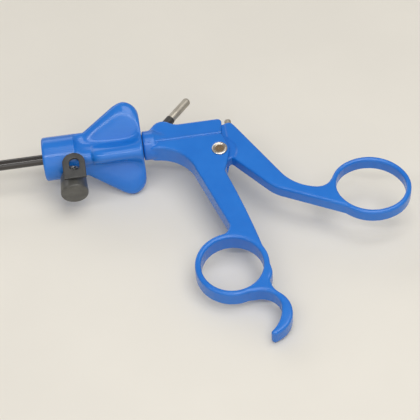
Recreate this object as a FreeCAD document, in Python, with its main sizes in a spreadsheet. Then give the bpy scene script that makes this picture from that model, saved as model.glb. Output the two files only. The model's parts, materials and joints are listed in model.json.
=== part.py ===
import FreeCAD, Part
import Sketcher
import math
import os
from FreeCAD import Placement, Rotation, Vector

# Laparoscopic dissecting forceps, 5 mm, with a ring handle and a turning shaft.
# Frame in millimetres: the origin lies on the shaft axis at the front face of the nose.
# +X runs back along the shaft to the handle, so the jaws are at -X.
# The grip hangs towards -Y, and Z is the thickness of the handle.

os.makedirs("parts", exist_ok=True)
doc = FreeCAD.newDocument("DissectingForceps")
sheet = doc.addObject("Spreadsheet::Sheet", "Sizes")


class Size:
    """A size with its value and the sheet expression that gives it."""

    def __init__(self, value, text):
        self.value = value
        self.text = text

    def __add__(self, other):
        other = as_size(other)
        return Size(self.value + other.value, "(%s + %s)" % (self.text, other.text))

    def __radd__(self, other):
        return as_size(other) + self

    def __sub__(self, other):
        other = as_size(other)
        return Size(self.value - other.value, "(%s - %s)" % (self.text, other.text))

    def __rsub__(self, other):
        return as_size(other) - self

    def __mul__(self, other):
        other = as_size(other)
        return Size(self.value * other.value, "(%s * %s)" % (self.text, other.text))

    def __rmul__(self, other):
        return as_size(other) * self

    def __truediv__(self, other):
        other = as_size(other)
        return Size(self.value / other.value, "(%s / %s)" % (self.text, other.text))

    def __neg__(self):
        return Size(-self.value, "(0 - %s)" % self.text)


def as_size(thing):
    if isinstance(thing, Size):
        return thing
    return Size(float(thing), "%.6f" % thing if thing >= 0 else "(0 - %.6f)" % -thing)


def cos_of(angle):
    return Size(math.cos(math.radians(angle.value)), "cos(%s * 1 deg)" % angle.text)


def sin_of(angle):
    return Size(math.sin(math.radians(angle.value)), "sin(%s * 1 deg)" % angle.text)


def tan_of(angle):
    return Size(math.tan(math.radians(angle.value)), "tan(%s * 1 deg)" % angle.text)


def root_of(thing):
    return Size(math.sqrt(thing.value), "sqrt(%s)" % thing.text)


def tangent_radius(start, join, far):
    """Radius of the arc from join to far that runs on smoothly from the line start-join."""
    ax, ay = join[0] - start[0], join[1] - start[1]
    bx, by = far[0] - join[0], far[1] - join[1]
    cross = ax * by - ay * bx
    return root_of(ax * ax + ay * ay) * (bx * bx + by * by) / (2 * cross)


row = 0


def size(alias, value, note):
    global row
    row += 1
    sheet.set("A%d" % row, alias)
    sheet.set("B%d" % row, repr(value))
    sheet.set("C%d" % row, note)
    sheet.setAlias("B%d" % row, alias)
    return Size(float(value), "Sizes." + alias)


# Clearances
running = size("running", 0.05, "radial clearance of a turning or sliding fit")
side_play = size("side_play", 0.06, "play between flat faces that slide")
free_gap = size("free_gap", 0.3, "gap between moving pieces that do not bear")

# Shaft
shaft_len = size("shaft_len", 322.0, "straight insulated shaft in front of the nose")
sleeve_r = size("sleeve_r", 2.5, "outside radius of the insulation, a 5 mm shaft")
sleeve_root = size("sleeve_root", 10.5, "insulation inside the nose")
root_step = size("root_step", 0.2, "step of the insulation where it enters the nose")
tube_r = size("tube_r", 2.05, "outside radius of the steel tube")
tube_wall = size("tube_wall", 0.4, "wall of the steel tube")
tube_bare = size("tube_bare", 3.0, "bare tube end inside the clevis sleeve")
tube_back = size("tube_back", 20.0, "tube behind the nose face")

# Jaw end
clevis_r = size("clevis_r", 2.32, "outside radius of the clevis")
clevis_sleeve = size("clevis_sleeve", 6.6, "sleeve of the clevis from the insulation to the slot")
jaw_pivot = size("jaw_pivot", 18.0, "jaw pin in front of the end of the insulation")
cheek_nose = size("cheek_nose", 2.4, "clevis cheek in front of the jaw pin")
jaw_slot = size("jaw_slot", 1.36, "half width of the clevis slot")
jaw_pin_r = size("jaw_pin_r", 0.7, "radius of the jaw pin")
jaw_len = size("jaw_len", 18.0, "jaw from its pin to its tip")
jaw_open = size("jaw_open", 22.0, "opening of each jaw in degrees")
jaw_wide = size("jaw_wide", 2.2, "half width of a jaw at its root")
jaw_tip = size("jaw_tip", 0.7, "half width of a jaw at its tip")
jaw_deep = size("jaw_deep", 2.15, "depth of a jaw at its root")
jaw_tip_deep = size("jaw_tip_deep", 0.85, "depth of a jaw at its tip")
jaw_curve = size("jaw_curve", 1.8, "sideways curve of the tips")
jaw_root = size("jaw_root", 2.95, "start of the blade in front of the pin")
bite_gap = size("bite_gap", 0.07, "half gap between the closed jaws")
tooth_pitch = size("tooth_pitch", 1.0, "pitch of the cross teeth")
tooth_deep = size("tooth_deep", 0.32, "depth of the cross teeth")
tail_thick = size("tail_thick", 0.9, "thickness of a jaw tail")
tail_near = size("tail_near", 3.0, "drive pin behind the jaw pin with the jaws open")
tail_band = size("tail_band", 0.65, "metal beside the slot of a tail")
hub_r = size("hub_r", 2.1, "radius of a jaw hub")
jaw_pass = size("jaw_pass", 2.42, "radius that the closed jaws and their tails stay in")
tongue_half = size("tongue_half", 0.35, "half thickness of the rod tongue")
tongue_high = size("tongue_high", 1.15, "half height of the rod tongue")
drive_pin_r = size("drive_pin_r", 0.55, "radius of the drive pin")

# Rod
rod_r = size("rod_r", 1.1, "radius of the rod inside the tube")
rod_back_r = size("rod_back_r", 1.5, "radius of the rod behind the hub")
rod_step = size("rod_step", 24.0, "start of the thicker rod")
tongue_len = size("tongue_len", 13.6, "tongue from the drive pin to its ferrule")
ferrule_r = size("ferrule_r", 1.45, "radius of the ferrule that joins rod and tongue")
ferrule_len = size("ferrule_len", 4.0, "length of that ferrule")
ball_r = size("ball_r", 1.9, "radius of the rod ball")
ball_neck = size("ball_neck", 0.95, "radius of the neck in front of the ball")
neck_len = size("neck_len", 7.5, "length of that neck")

# Nose and knob
nose_r = size("nose_r", 10.5, "radius of the nose")
nose_round = size("nose_round", 1.2, "rounding of the front edge of the nose")
knob_end = size("knob_end", 47.6, "rear face of the knob")
scoop_start = size("scoop_start", 15.5, "start of the scoops between the wings")
scoop_deep = size("scoop_deep", 2.4, "depth of the scoops")
wing_start = size("wing_start", 20.3, "start of the wing edge")
wing_rise = size("wing_rise", 34.0, "slope of the wing edge in degrees")
wing_r = size("wing_r", 22.8, "radius at the wing tips")
lobe_start = size("lobe_start", 23.5, "rounded front of the grip lobes")
lobe_r = size("lobe_r", 13.3, "radius at the grip lobes")
wing_corner = size("wing_corner", 8.0, "rounding of the rear corners of the wings")
wing_turn = size("wing_turn", 50.4, "turn of the wings out of the handle plane in degrees")
knob_wall = size("knob_wall", 3.0, "front wall of the nose")
housing_r = size("housing_r", 4.6, "radius of the flush housing")
housing_end = size("housing_end", 22.0, "rear end of the flush housing")
spindle_r = size("spindle_r", 5.2, "radius of the spindle inside the knob")
rod_bore = size("rod_bore", 1.9, "radius of the rod bore in the hub")

# Flush port with its cap and strap
port_x = size("port_x", 13.2, "flush port behind the nose face")
port_r = size("port_r", 3.2, "outside radius of the port")
port_bore = size("port_bore", 1.9, "bore of the port")
port_end = size("port_end", 18.4, "end of the port from the shaft axis")
flush_hole = size("flush_hole", 1.0, "radius of the flush hole in the tube")
boss_r = size("boss_r", 4.4, "radius of the port's foot")
cap_r = size("cap_r", 6.6, "radius of the cap")
cap_base = size("cap_base", 13.2, "open end of the cap from the shaft axis")
cap_top = size("cap_top", 23.4, "closed end of the cap from the shaft axis")
strap_ring_r = size("strap_ring_r", 5.4, "outside radius of the strap's ring on the port")
strap_thick = size("strap_thick", 1.5, "thickness of the strap")
strap_half = size("strap_half", 5.4, "half width of the strap loop")
strap_front = size("strap_front", 3.3, "width of the front limb of the loop")
strap_rear = size("strap_rear", 2.9, "width of the rear limb of the loop")
strap_reach = size("strap_reach", 14.4, "length of the strap loop")
strap_low = size("strap_low", 20.0, "lower end of the loop from the shaft axis")
strap_shift = size("strap_shift", 1.4, "loop behind the port")
strap_tilt = size("strap_tilt", 10.0, "slope of the strap loop in degrees")

# Handle
neck_front = size("neck_front", 48.1, "front face of the handle neck")
neck_r = size("neck_r", 7.1, "radius of the handle neck")
neck_back = size("neck_back", 53.5, "end of the round neck")
neck_taper = size("neck_taper", 7.0, "length of the taper behind the neck")
housing_half = size("housing_half", 4.4, "half thickness of the rod housing")
housing_top = size("housing_top", 7.6, "top of the rod housing")
housing_back = size("housing_back", 87.5, "rear top corner of the rod housing")
ledge = size("ledge", 2.1, "ledge of the cheeks below the shaft axis")
ledge_start = size("ledge_start", 56.5, "front end of that ledge")
cheek_half = size("cheek_half", 5.4, "half thickness of the handle at its cheeks")
hook_half = size("hook_half", 4.0, "half thickness of the handle at its hook")
taper_start = size("taper_start", 18.0, "start of the taper below the shaft axis")
edge_round = size("edge_round", 1.0, "rounding of the handle edges")
web_front = size("web_front", 52.0, "front of the web under the neck")
web_round = size("web_round", 20.0, "radius of the hollow under the neck")
grip_top_x = size("grip_top_x", 71.4, "front edge of the grip at its top")
grip_top_y = size("grip_top_y", 21.7, "that point below the shaft axis")
grip_low_x = size("grip_low_x", 82.4, "front edge of the grip above the ring")
grip_low_y = size("grip_low_y", 56.0, "that point below the shaft axis")
ring_x = size("ring_x", 80.6, "centre of the finger ring")
ring_y = size("ring_y", 78.0, "centre of the finger ring below the shaft axis")
ring_hole = size("ring_hole", 14.2, "radius of the finger hole")
ring_band = size("ring_band", 2.8, "width of the band of the finger ring")
ring_join = size("ring_join", 110.0, "where the front edge meets the ring, in degrees")
waist_x = size("waist_x", 84.9, "rear edge of the grip at its waist")
waist_y = size("waist_y", 24.9, "that point below the shaft axis")
heel_x = size("heel_x", 97.9, "rear edge of the grip at its heel")
heel_y = size("heel_y", 83.0, "that point below the shaft axis")
back_round = size("back_round", 450.0, "radius of the bulge of the rear edge")
hook_out = size("hook_out", 12.3, "radius of the outside of the finger hook")
hook_in = size("hook_in", 9.2, "radius of the inside of the finger hook")
hook_limb = size("hook_limb", 17.0, "radius of the inside of the hook near its tip")
hook_tip = size("hook_tip", 1.75, "radius of the tip of the hook")

# Pivot
pivot_x = size("pivot_x", 84.1, "handle pivot behind the nose face")
pivot_y = size("pivot_y", 12.0, "handle pivot below the shaft axis")
rivet_r = size("rivet_r", 2.4, "radius of the pivot shank")
rivet_head = size("rivet_head", 3.7, "radius of the pivot head")
rivet_proud = size("rivet_proud", 0.45, "height of the pivot head above the cheek")
rivet_sunk = size("rivet_sunk", 0.8, "depth of the pivot head in the cheek")
rivet_dish = size("rivet_dish", 0.5, "depth of the dish in the pivot head")
pivot_cheek = size("pivot_cheek", 4.7, "cheek behind the pivot")
fork_half = size("fork_half", 3.0, "half width of the slot between the cheeks")
fork_front = size("fork_front", 79.2, "front end of that slot")
fork_top = size("fork_top", 5.2, "top of that slot above the shaft axis")

# Electrode pin
post_x = size("post_x", 59.7, "foot of the electrode pin behind the nose face")
post_y = size("post_y", 10.4, "foot of the electrode pin above the shaft axis")
post_lean = size("post_lean", 47.2, "lean of the electrode pin in degrees")
post_r = size("post_r", 2.0, "radius of the electrode pin, a 4 mm plug")
post_len = size("post_len", 14.2, "bare length of the electrode pin")
post_core = size("post_core", 1.2, "radius of the pin's core in its collar")
post_root = size("post_root", 5.0, "depth of the core in the handle")
collar_r = size("collar_r", 2.25, "radius of the insulating collar")
collar_len = size("collar_len", 5.7, "length of the collar outside the handle")
collar_seat = size("collar_seat", 2.4, "depth of the collar in the handle")
leaf_thick = size("leaf_thick", 0.4, "thickness of the contact leaf")
leaf_half = size("leaf_half", 1.0, "half width of the contact leaf")

# Thumb lever
lever_half = size("lever_half", 3.6, "half thickness of the thumb lever")
swing_r = size("swing_r", 8.3, "radius round the pivot kept clear of the wide lever")
blade_r = size("blade_r", 6.6, "radius of the lever's blade round the pivot")
lever_round = size("lever_round", 1.0, "rounding of the lever edges")
head_front = size("head_front", 88.9, "front face of the wide lever head")
head_top = size("head_top", 5.0, "top of the lever head above the shaft axis")
thumb_x = size("thumb_x", 151.1, "centre of the thumb ring")
thumb_y = size("thumb_y", 44.0, "centre of the thumb ring below the shaft axis")
thumb_long = size("thumb_long", 16.36, "half length of the thumb hole")
thumb_short = size("thumb_short", 14.2, "half width of the thumb hole")
thumb_end = size("thumb_end", 12.6, "radius of the ends of the thumb hole")
thumb_band = size("thumb_band", 2.45, "width of the band of the thumb ring")
thumb_tilt = size("thumb_tilt", 20.0, "tilt of the thumb ring in degrees")
close_angle = size("close_angle", 27.0, "closing swing of the thumb lever in degrees")

# Screw over the ball seat
screw_x = size("screw_x", 90.6, "screw behind the nose face")
screw_r = size("screw_r", 1.6, "radius of the screw head")
screw_top = size("screw_top", 8.6, "top of the screw above the shaft axis")
screw_deep = size("screw_deep", 5.0, "depth of the screw in the lever head")
screw_core = size("screw_core", 1.15, "radius of the screw shank")

# Turning joint between knob and handle
axle_r = size("axle_r", 4.0, "radius of the spindle in the handle neck")
axle_end = size("axle_end", 54.3, "rear end of the spindle")
bush_r = size("bush_r", 5.6, "outside radius of the neck bushing")
bush_end = size("bush_end", 52.5, "rear end of the neck bushing")
clip_r = size("clip_r", 5.0, "radius of the retaining clip")
clip_thick = size("clip_thick", 0.8, "thickness of the retaining clip")
clip_groove = size("clip_groove", 3.5, "radius of the groove that holds the clip")
seal_x = size("seal_x", 36.0, "rod seal behind the nose face")
seal_r = size("seal_r", 0.55, "radius of the seal's cord")

doc.recompute()
bound = []


def make_body(name, label):
    body = doc.addObject("PartDesign::Body", name)
    body.Label = label
    return body


def plane_of(body, role):
    for feature in body.Origin.OriginFeatures:
        if feature.Role == role:
            return feature
    raise ValueError(role)


def bind(thing, path, value):
    value = as_size(value)
    thing.setExpression(path, value.text)
    bound.append((thing, path, value.value))


def make_sketch(body, name, role, offset=None):
    """A sketch on an origin plane; offset is (x, y, z, turn) in the plane's own frame."""
    sketch = body.newObject("Sketcher::SketchObject", name)
    sketch.AttachmentSupport = [(plane_of(body, role), "")]
    sketch.MapMode = "FlatFace"
    if offset:
        x, y, z, turn = [as_size(value) for value in offset]
        place = Placement(Vector(x.value, y.value, z.value), Rotation(Vector(0, 0, 1), turn.value))
        sketch.AttachmentOffset = place
        bind(sketch, "AttachmentOffset.Base.x", x)
        bind(sketch, "AttachmentOffset.Base.y", y)
        bind(sketch, "AttachmentOffset.Base.z", z)
        if turn.value:
            bind(sketch, "AttachmentOffset.Rotation.Angle", turn)
    return sketch


def fix_point(sketch, line, end, x, y):
    for kind, value in (("DistanceX", x), ("DistanceY", y)):
        value = as_size(value)
        if abs(value.value) < 1e-9:
            other = -2 if kind == "DistanceX" else -1
            sketch.addConstraint(Sketcher.Constraint("PointOnObject", line, end, other))
            continue
        index = sketch.addConstraint(Sketcher.Constraint(kind, -1, 1, line, end, value.value))
        bind(sketch, "Constraints[%d]" % index, value)


def closed(sketch, points):
    """Closed outline through points (x, y) or (x, y, radius).

    A radius makes the stretch to the next point an arc: positive turns left, negative right."""
    count = len(points)
    spots = [(as_size(point[0]), as_size(point[1])) for point in points]
    ends = []
    for i, point in enumerate(points):
        here = spots[i]
        there = spots[(i + 1) % count]
        start = Vector(here[0].value, here[1].value, 0)
        stop = Vector(there[0].value, there[1].value, 0)
        if len(point) == 2:
            line = sketch.addGeometry(Part.LineSegment(start, stop), False)
            ends.append((line, 1, 2))
            continue
        radius = as_size(point[2])
        size_of = abs(radius.value)
        chord = stop - start
        left = Vector(-chord.y, chord.x, 0).normalize()
        rise = math.sqrt(max(size_of ** 2 - chord.Length ** 2 / 4, 0.0))
        side = 1 if radius.value > 0 else -1
        centre = (start + stop) * 0.5 + left * (rise * side)
        first, last = (start, stop) if side > 0 else (stop, start)
        begin = math.atan2(first.y - centre.y, first.x - centre.x)
        finish = math.atan2(last.y - centre.y, last.x - centre.x)
        while finish < begin:
            finish += 2 * math.pi
        circle = Part.Circle(centre, Vector(0, 0, 1), size_of)
        line = sketch.addGeometry(Part.ArcOfCircle(circle, begin, finish), False)
        ends.append((line, 1, 2) if side > 0 else (line, 2, 1))
        index = sketch.addConstraint(Sketcher.Constraint("Radius", line, size_of))
        bind(sketch, "Constraints[%d]" % index, radius if side > 0 else -radius)
    for i in range(count):
        line, begin, finish = ends[i]
        nxt = ends[(i + 1) % count]
        sketch.addConstraint(Sketcher.Constraint("Coincident", line, finish, nxt[0], nxt[1]))
    for i in range(count):
        fix_point(sketch, ends[i][0], ends[i][1], spots[i][0], spots[i][1])


def circle_in(sketch, x, y, radius):
    x, y, radius = as_size(x), as_size(y), as_size(radius)
    line = sketch.addGeometry(
        Part.Circle(Vector(x.value, y.value, 0), Vector(0, 0, 1), radius.value), False)
    index = sketch.addConstraint(Sketcher.Constraint("Radius", line, radius.value))
    bind(sketch, "Constraints[%d]" % index, radius)
    fix_point(sketch, line, 3, x, y)


def pad(body, name, sketch, length, both=True, back=False):
    feature = body.newObject("PartDesign::Pad", name)
    feature.Profile = sketch
    feature.SideType = "Symmetric" if both else "One side"
    feature.Reversed = back
    feature.Length = as_size(length).value
    bind(feature, "Length", length)
    return feature


def pocket(body, name, sketch, length=None, both=True, back=False):
    before = body.Shape.Volume
    feature = body.newObject("PartDesign::Pocket", name)
    feature.Profile = sketch
    feature.SideType = "Symmetric" if both else "One side"
    feature.Reversed = back
    if length is None:
        feature.Type = "ThroughAll"
    else:
        feature.Length = as_size(length).value
        bind(feature, "Length", length)
    doc.recompute()
    if not body.Shape.Volume < before - 1e-6 or not body.Shape.isValid():
        raise ValueError("%s cuts nothing" % name)
    return feature


def turn(body, name, sketch, cut=False, axis="H_Axis"):
    before = body.Shape.Volume if cut else 0
    feature = body.newObject("PartDesign::Groove" if cut else "PartDesign::Revolution", name)
    feature.Profile = sketch
    feature.ReferenceAxis = (sketch, [axis])
    feature.Angle = 360
    doc.recompute()
    if not body.Shape.isValid() or (cut and not body.Shape.Volume < before - 1e-6):
        raise ValueError("%s cuts nothing" % name)
    return feature


def round_edges(body, name, radius, wanted):
    doc.recompute()
    base = body.Tip
    names = []
    for i, edge in enumerate(base.Shape.Edges):
        if wanted(edge):
            names.append("Edge%d" % (i + 1))
    if not names:
        raise ValueError("%s finds no edge" % name)
    feature = body.newObject("PartDesign::Fillet", name)
    feature.Base = (base, names)
    feature.Radius = as_size(radius).value
    bind(feature, "Radius", radius)
    doc.recompute()
    if not body.Shape.isValid():
        raise ValueError("%s is not whole" % name)
    return feature


def face_edges(shape, wanted):
    """Edges of the faces that fit, as a list of shapes."""
    found = []
    for face in shape.Faces:
        if wanted(face):
            found.extend(face.Edges)
    return found


def same_edge(edge, edges):
    return any(edge.isSame(other) for other in edges)


def place(body, x, y, z=0.0, angle=0.0, axis=Vector(0, 0, 1)):
    x, y, z, angle = as_size(x), as_size(y), as_size(z), as_size(angle)
    body.Placement = Placement(Vector(x.value, y.value, z.value), Rotation(axis, angle.value))
    bind(body, "Placement.Base.x", x)
    bind(body, "Placement.Base.y", y)
    bind(body, "Placement.Base.z", z)
    if angle.value:
        bind(body, "Placement.Rotation.Angle", angle)


def flat_top(face):
    if not isinstance(face.Surface, Part.Plane):
        return False
    return abs(face.Surface.Axis.z) > 0.98 and abs(face.CenterOfMass.z) > 2.0


# Handle body: grip, web, finger ring and hook in one outline
handle = make_body("Handle", "handle_body")
ring_out = ring_hole + ring_band
sketch = make_sketch(handle, "GripOutline", "XY_Plane")
closed(sketch, [
    (web_front, -neck_r + 0.8, -web_round),
    (grip_top_x, -grip_top_y),
    (grip_low_x, -grip_low_y, -6.5),
    (ring_x + ring_out * cos_of(ring_join), -ring_y + ring_out * sin_of(ring_join)),
    (ring_x, -ring_y),
    (ring_x + 0.5, -ring_y - ring_out + 1.2),
    (ring_x + 7.9, -ring_y - ring_out + 0.62, -hook_in),
    (heel_x + 1.1, -heel_y - 19.5, -hook_limb),
    (heel_x - 5.7, -heel_y - 33.0, hook_tip),
    (heel_x - 2.7, -heel_y - 34.3, hook_out),
    (heel_x + 1.5, -heel_y - 13.5, -9.0),
    (heel_x - 1.6, -heel_y - 5.6, 7.0),
    (heel_x, -heel_y, back_round),
    (waist_x, -waist_y, 60.0),
    (pivot_x + pivot_cheek, -pivot_y, 40.0),
    (housing_back - 1.3, -ledge),
    (ledge_start, -ledge),
])
pad(handle, "Grip", sketch, 2 * cheek_half)
sketch = make_sketch(handle, "RingOutline", "XY_Plane")
circle_in(sketch, ring_x, -ring_y, ring_out)
pad(handle, "Ring", sketch, 2 * cheek_half)
doc.recompute()

# The handle thins from the cheeks to the hook on both faces
for name, sign in (("TaperFront", 1), ("TaperBack", -1)):
    sketch = make_sketch(handle, name + "Sketch", "YZ_Plane")
    run = heel_y + 36.0
    closed(sketch, [
        (-taper_start, sign * cheek_half, ),
        (-run, sign * hook_half),
        (-run, sign * (cheek_half + 1.0)),
        (-taper_start, sign * (cheek_half + 1.0)),
    ])
    pocket(handle, name, sketch, 2 * (thumb_x + 50.0))
sketch = make_sketch(handle, "FingerHoleSketch", "XY_Plane")
circle_in(sketch, ring_x, -ring_y, ring_hole)
pocket(handle, "FingerHole", sketch)
rims = face_edges(handle.Tip.Shape, flat_top)


def grip_rim(edge):
    from_taper = max(abs(vertex.Y + taper_start.value) for vertex in edge.Vertexes)
    return same_edge(edge, rims) and from_taper > 0.01


round_edges(handle, "GripEdges", edge_round, grip_rim)

# Rod housing with the boss of the electrode pin, rounded by itself and then joined
housing = make_body("Housing", "rod_housing_form")
sketch = make_sketch(housing, "HousingOutline", "XY_Plane")
closed(sketch, [
    (web_front, -ledge - 1.6),
    (housing_back - 1.4, -ledge - 1.6),
    (housing_back, housing_top - 2.2, 2.2),
    (housing_back - 2.2, housing_top),
    (post_x + 6.2, housing_top, -9.0),
    (post_x + 1.9, post_y - 0.6, 6.0),
    (post_x - 5.2, post_y - 1.2, -30.0),
    (web_front - 0.2, neck_r - 0.9),
])
pad(housing, "RodHousing", sketch, 2 * housing_half)
doc.recompute()
tops = face_edges(housing.Tip.Shape, flat_top)


def housing_rim(edge):
    middle = edge.valueAt((edge.FirstParameter + edge.LastParameter) / 2)
    return same_edge(edge, tops) and middle.y > -ledge.value - 1.0 and middle.x > web_front.value + 0.5


round_edges(housing, "HousingEdges", edge_round, housing_rim)
join = handle.newObject("PartDesign::Boolean", "JoinHousing")
join.setObjects([housing])
join.Type = "Fuse"
doc.recompute()
if not handle.Shape.isValid():
    raise ValueError("the housing does not join")

# Round neck that carries the turning shaft
sketch = make_sketch(handle, "NeckProfile", "XY_Plane")
closed(sketch, [
    (neck_front, 0.0),
    (neck_front + neck_back - neck_front + neck_taper + 2.0, 0.0),
    (neck_back + neck_taper + 2.0, housing_half),
    (neck_back + neck_taper, housing_half, -22.0),
    (neck_back, neck_r),
    (neck_front + 0.7, neck_r, 0.7),
    (neck_front, neck_r - 0.7),
])
turn(handle, "Neck", sketch)

# Bores of the neck: bushing, clip chamber and rod
sketch = make_sketch(handle, "NeckBore", "XY_Plane")
closed(sketch, [
    (neck_front - 1.0, 0.0),
    (fork_front + 1.0, 0.0),
    (fork_front + 1.0, rod_bore + 0.1),
    (axle_end + 0.5, rod_bore + 0.1),
    (axle_end + 0.5, bush_r),
    (neck_front - 1.0, bush_r),
])
turn(handle, "NeckBores", sketch, cut=True)

# Slot between the cheeks for the blade of the lever
sketch = make_sketch(handle, "ForkSlot", "XY_Plane")
blade_gap = blade_r + 0.9
closed(sketch, [
    (fork_front, fork_top),
    (fork_front, -pivot_y + 5.0),
    (pivot_x - blade_gap, -pivot_y, blade_gap),
    (pivot_x, -pivot_y - blade_gap),
    (pivot_x + 14.0, -pivot_y - blade_gap - 8.0),
    (pivot_x + 14.0, fork_top),
])
pocket(handle, "Fork", sketch, 2 * fork_half)

# Pivot bore with a seat for each head
sketch = make_sketch(handle, "PivotBoreSketch", "XY_Plane")
circle_in(sketch, pivot_x, -pivot_y, rivet_r)
pocket(handle, "PivotBore", sketch)
for name, sign in (("PivotSeatFront", 1), ("PivotSeatBack", -1)):
    sketch = make_sketch(handle, name + "Sketch", "XY_Plane", (0, 0, sign * (cheek_half - rivet_sunk), 0))
    circle_in(sketch, pivot_x, -pivot_y, rivet_head)
    pocket(handle, name, sketch, 3.0, both=False, back=sign > 0)

# Bore of the electrode pin and the chamber of its contact leaf
sketch = make_sketch(handle, "PostBore", "XY_Plane", (post_x, post_y, 0, post_lean))
closed(sketch, [
    (-post_root, 0.0),
    (6.0, 0.0),
    (6.0, collar_r),
    (-collar_seat, collar_r),
    (-collar_seat, post_core),
    (-post_root, post_core),
])
turn(handle, "PostSeat", sketch, cut=True)
leaf_x = post_x - 3.4
leaf_y = post_y - 3.9
sketch = make_sketch(handle, "LeafChamberSketch", "XY_Plane")
closed(sketch, [
    (leaf_x - 1.0, 0.6),
    (leaf_x + 13.4, 0.6),
    (leaf_x + 13.4, 4.2),
    (leaf_x + 3.0, leaf_y + 0.5),
    (leaf_x - 1.0, leaf_y + 0.5),
])
pocket(handle, "LeafChamber", sketch, 2 * leaf_half + 0.6)

# Bushing pressed into the neck
bush = make_body("Bushing", "neck_bushing")
sketch = make_sketch(bush, "BushingProfile", "XY_Plane")
closed(sketch, [
    (neck_front - 0.2, axle_r + running),
    (bush_end, axle_r + running),
    (bush_end, bush_r),
    (neck_front - 0.2, bush_r),
])
turn(bush, "Ring", sketch)

# Pivot: a shank with a dished head on each cheek
rivet = make_body("Rivet", "pivot_rivet")
sketch = make_sketch(rivet, "RivetProfile", "XZ_Plane")
under = cheek_half - rivet_sunk
over = cheek_half + rivet_proud
closed(sketch, [
    (0.0, -(over - rivet_dish)),
    (rivet_head - 1.2, -(over - rivet_dish)),
    (rivet_head - 0.7, -over),
    (rivet_head - 0.3, -over),
    (rivet_head, -over + 0.3),
    (rivet_head, -under),
    (rivet_r, -under),
    (rivet_r, under),
    (rivet_head, under),
    (rivet_head, over - 0.3),
    (rivet_head - 0.3, over),
    (rivet_head - 0.7, over),
    (rivet_head - 1.2, over - rivet_dish),
    (0.0, over - rivet_dish),
])
turn(rivet, "Pin", sketch, axis="V_Axis")
place(rivet, pivot_x, -pivot_y)

# Electrode pin with a rounded tip
post = make_body("Post", "hf_post")
sketch = make_sketch(post, "PostProfile", "XY_Plane")
tip = collar_len + post_len
closed(sketch, [
    (-post_root, 0.0),
    (tip, 0.0, ),
    (tip, post_r - 1.4, 1.4),
    (tip - 1.4, post_r),
    (collar_len, post_r),
    (collar_len, post_core),
    (-post_root, post_core),
])
turn(post, "Pin", sketch)
place(post, post_x, post_y, 0.0, post_lean)

# Insulating collar round the foot of the pin
collar = make_body("Collar", "hf_insulator")
sketch = make_sketch(collar, "CollarProfile", "XY_Plane")
closed(sketch, [
    (-collar_seat, post_core),
    (collar_len, post_core),
    (collar_len, collar_r - 0.3),
    (collar_len - 0.3, collar_r),
    (-collar_seat, collar_r),
])
turn(collar, "Sleeve", sketch)
place(collar, post_x, post_y, 0.0, post_lean)

# Contact leaf: bent strip from the pin's core to the rod
leaf = make_body("Leaf", "hf_contact_spring")
sketch = make_sketch(leaf, "LeafProfile", "XY_Plane")
touch = rod_back_r + 0.3
closed(sketch, [
    (leaf_x - 0.6, leaf_y - 0.3 - leaf_thick),
    (leaf_x + 2.6, leaf_y - 0.9 - leaf_thick),
    (leaf_x + 9.6, touch),
    (leaf_x + 10.6, touch),
    (leaf_x + 12.0, touch + 0.8),
    (leaf_x + 12.0, touch + 0.8 + leaf_thick),
    (leaf_x + 10.5, touch + leaf_thick),
    (leaf_x + 9.7, touch + leaf_thick),
    (leaf_x + 2.7, leaf_y - 0.9),
    (leaf_x - 0.6, leaf_y - 0.3),
])
pad(leaf, "Strip", sketch, 2 * leaf_half)

# Thumb lever: arm, thumb ring, and a thin blade between the cheeks
lever = make_body("Lever", "thumb_lever")
upper = Size(54.4, "54.4")
lower = Size(-42.6, "(0 - 42.6)")
arm_top = (pivot_x + 9.3, -pivot_y + 14.6)
arm_mid = (pivot_x + 26.9, -pivot_y - 17.3)
arm_low = (thumb_x - 26.1, -thumb_y + 3.8)
arm_head = (head_front + 2.7, as_size(head_top))
sketch = make_sketch(lever, "ArmOutline", "XY_Plane")
closed(sketch, [
    (head_front, head_top),
    (pivot_x + swing_r * cos_of(upper), -pivot_y + swing_r * sin_of(upper), -swing_r),
    (pivot_x + swing_r * cos_of(lower), -pivot_y + swing_r * sin_of(lower)),
    (pivot_x + 20.1, -pivot_y - 23.0, 21.6),
    (pivot_x + 27.1, -pivot_y - 28.2),
    (thumb_x - 5.0, -thumb_y - 14.9),
    (thumb_x, -thumb_y),
    (thumb_x - 14.6, -thumb_y + 10.9),
    (thumb_x - 18.9, -thumb_y + 5.4, -7.2),
    arm_low + (-tangent_radius(arm_top, arm_mid, arm_low),),
    arm_mid,
    arm_top + (tangent_radius(arm_mid, arm_top, arm_head),),
    arm_head,
])
pad(lever, "Arm", sketch, 2 * lever_half)
sketch = make_sketch(lever, "ThumbOutline", "XY_Plane", (thumb_x, -thumb_y, 0, -thumb_tilt))


def oval_in(sketch, extra):
    """Oval of four tangent arcs; extra widens it evenly."""
    across = thumb_long - thumb_end
    side = (across * across + thumb_short * thumb_short - thumb_end * thumb_end) / (
        2 * (thumb_short - thumb_end))
    drop = side - thumb_short
    reach = side + extra
    spot_x = reach * across / (side - thumb_end)
    spot_y = reach * drop / (side - thumb_end) - drop
    closed(sketch, [
        (spot_x, spot_y, reach),
        (-spot_x, spot_y, thumb_end + extra),
        (-spot_x, -spot_y, reach),
        (spot_x, -spot_y, thumb_end + extra),
    ])


oval_in(sketch, thumb_band)
pad(lever, "ThumbRing", sketch, 2 * lever_half)
doc.recompute()
sketch = make_sketch(lever, "ThumbHoleSketch", "XY_Plane", (thumb_x, -thumb_y, 0, -thumb_tilt))
oval_in(sketch, Size(0.0, "0"))
pocket(lever, "ThumbHole", sketch)
rims = face_edges(lever.Tip.Shape, flat_top)


def lever_rim(edge):
    middle = edge.valueAt((edge.FirstParameter + edge.LastParameter) / 2)
    near = math.hypot(middle.x - pivot_x.value, middle.y + pivot_y.value)
    return same_edge(edge, rims) and near > swing_r.value + 1.0 and middle.x > head_front.value + 0.1


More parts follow.
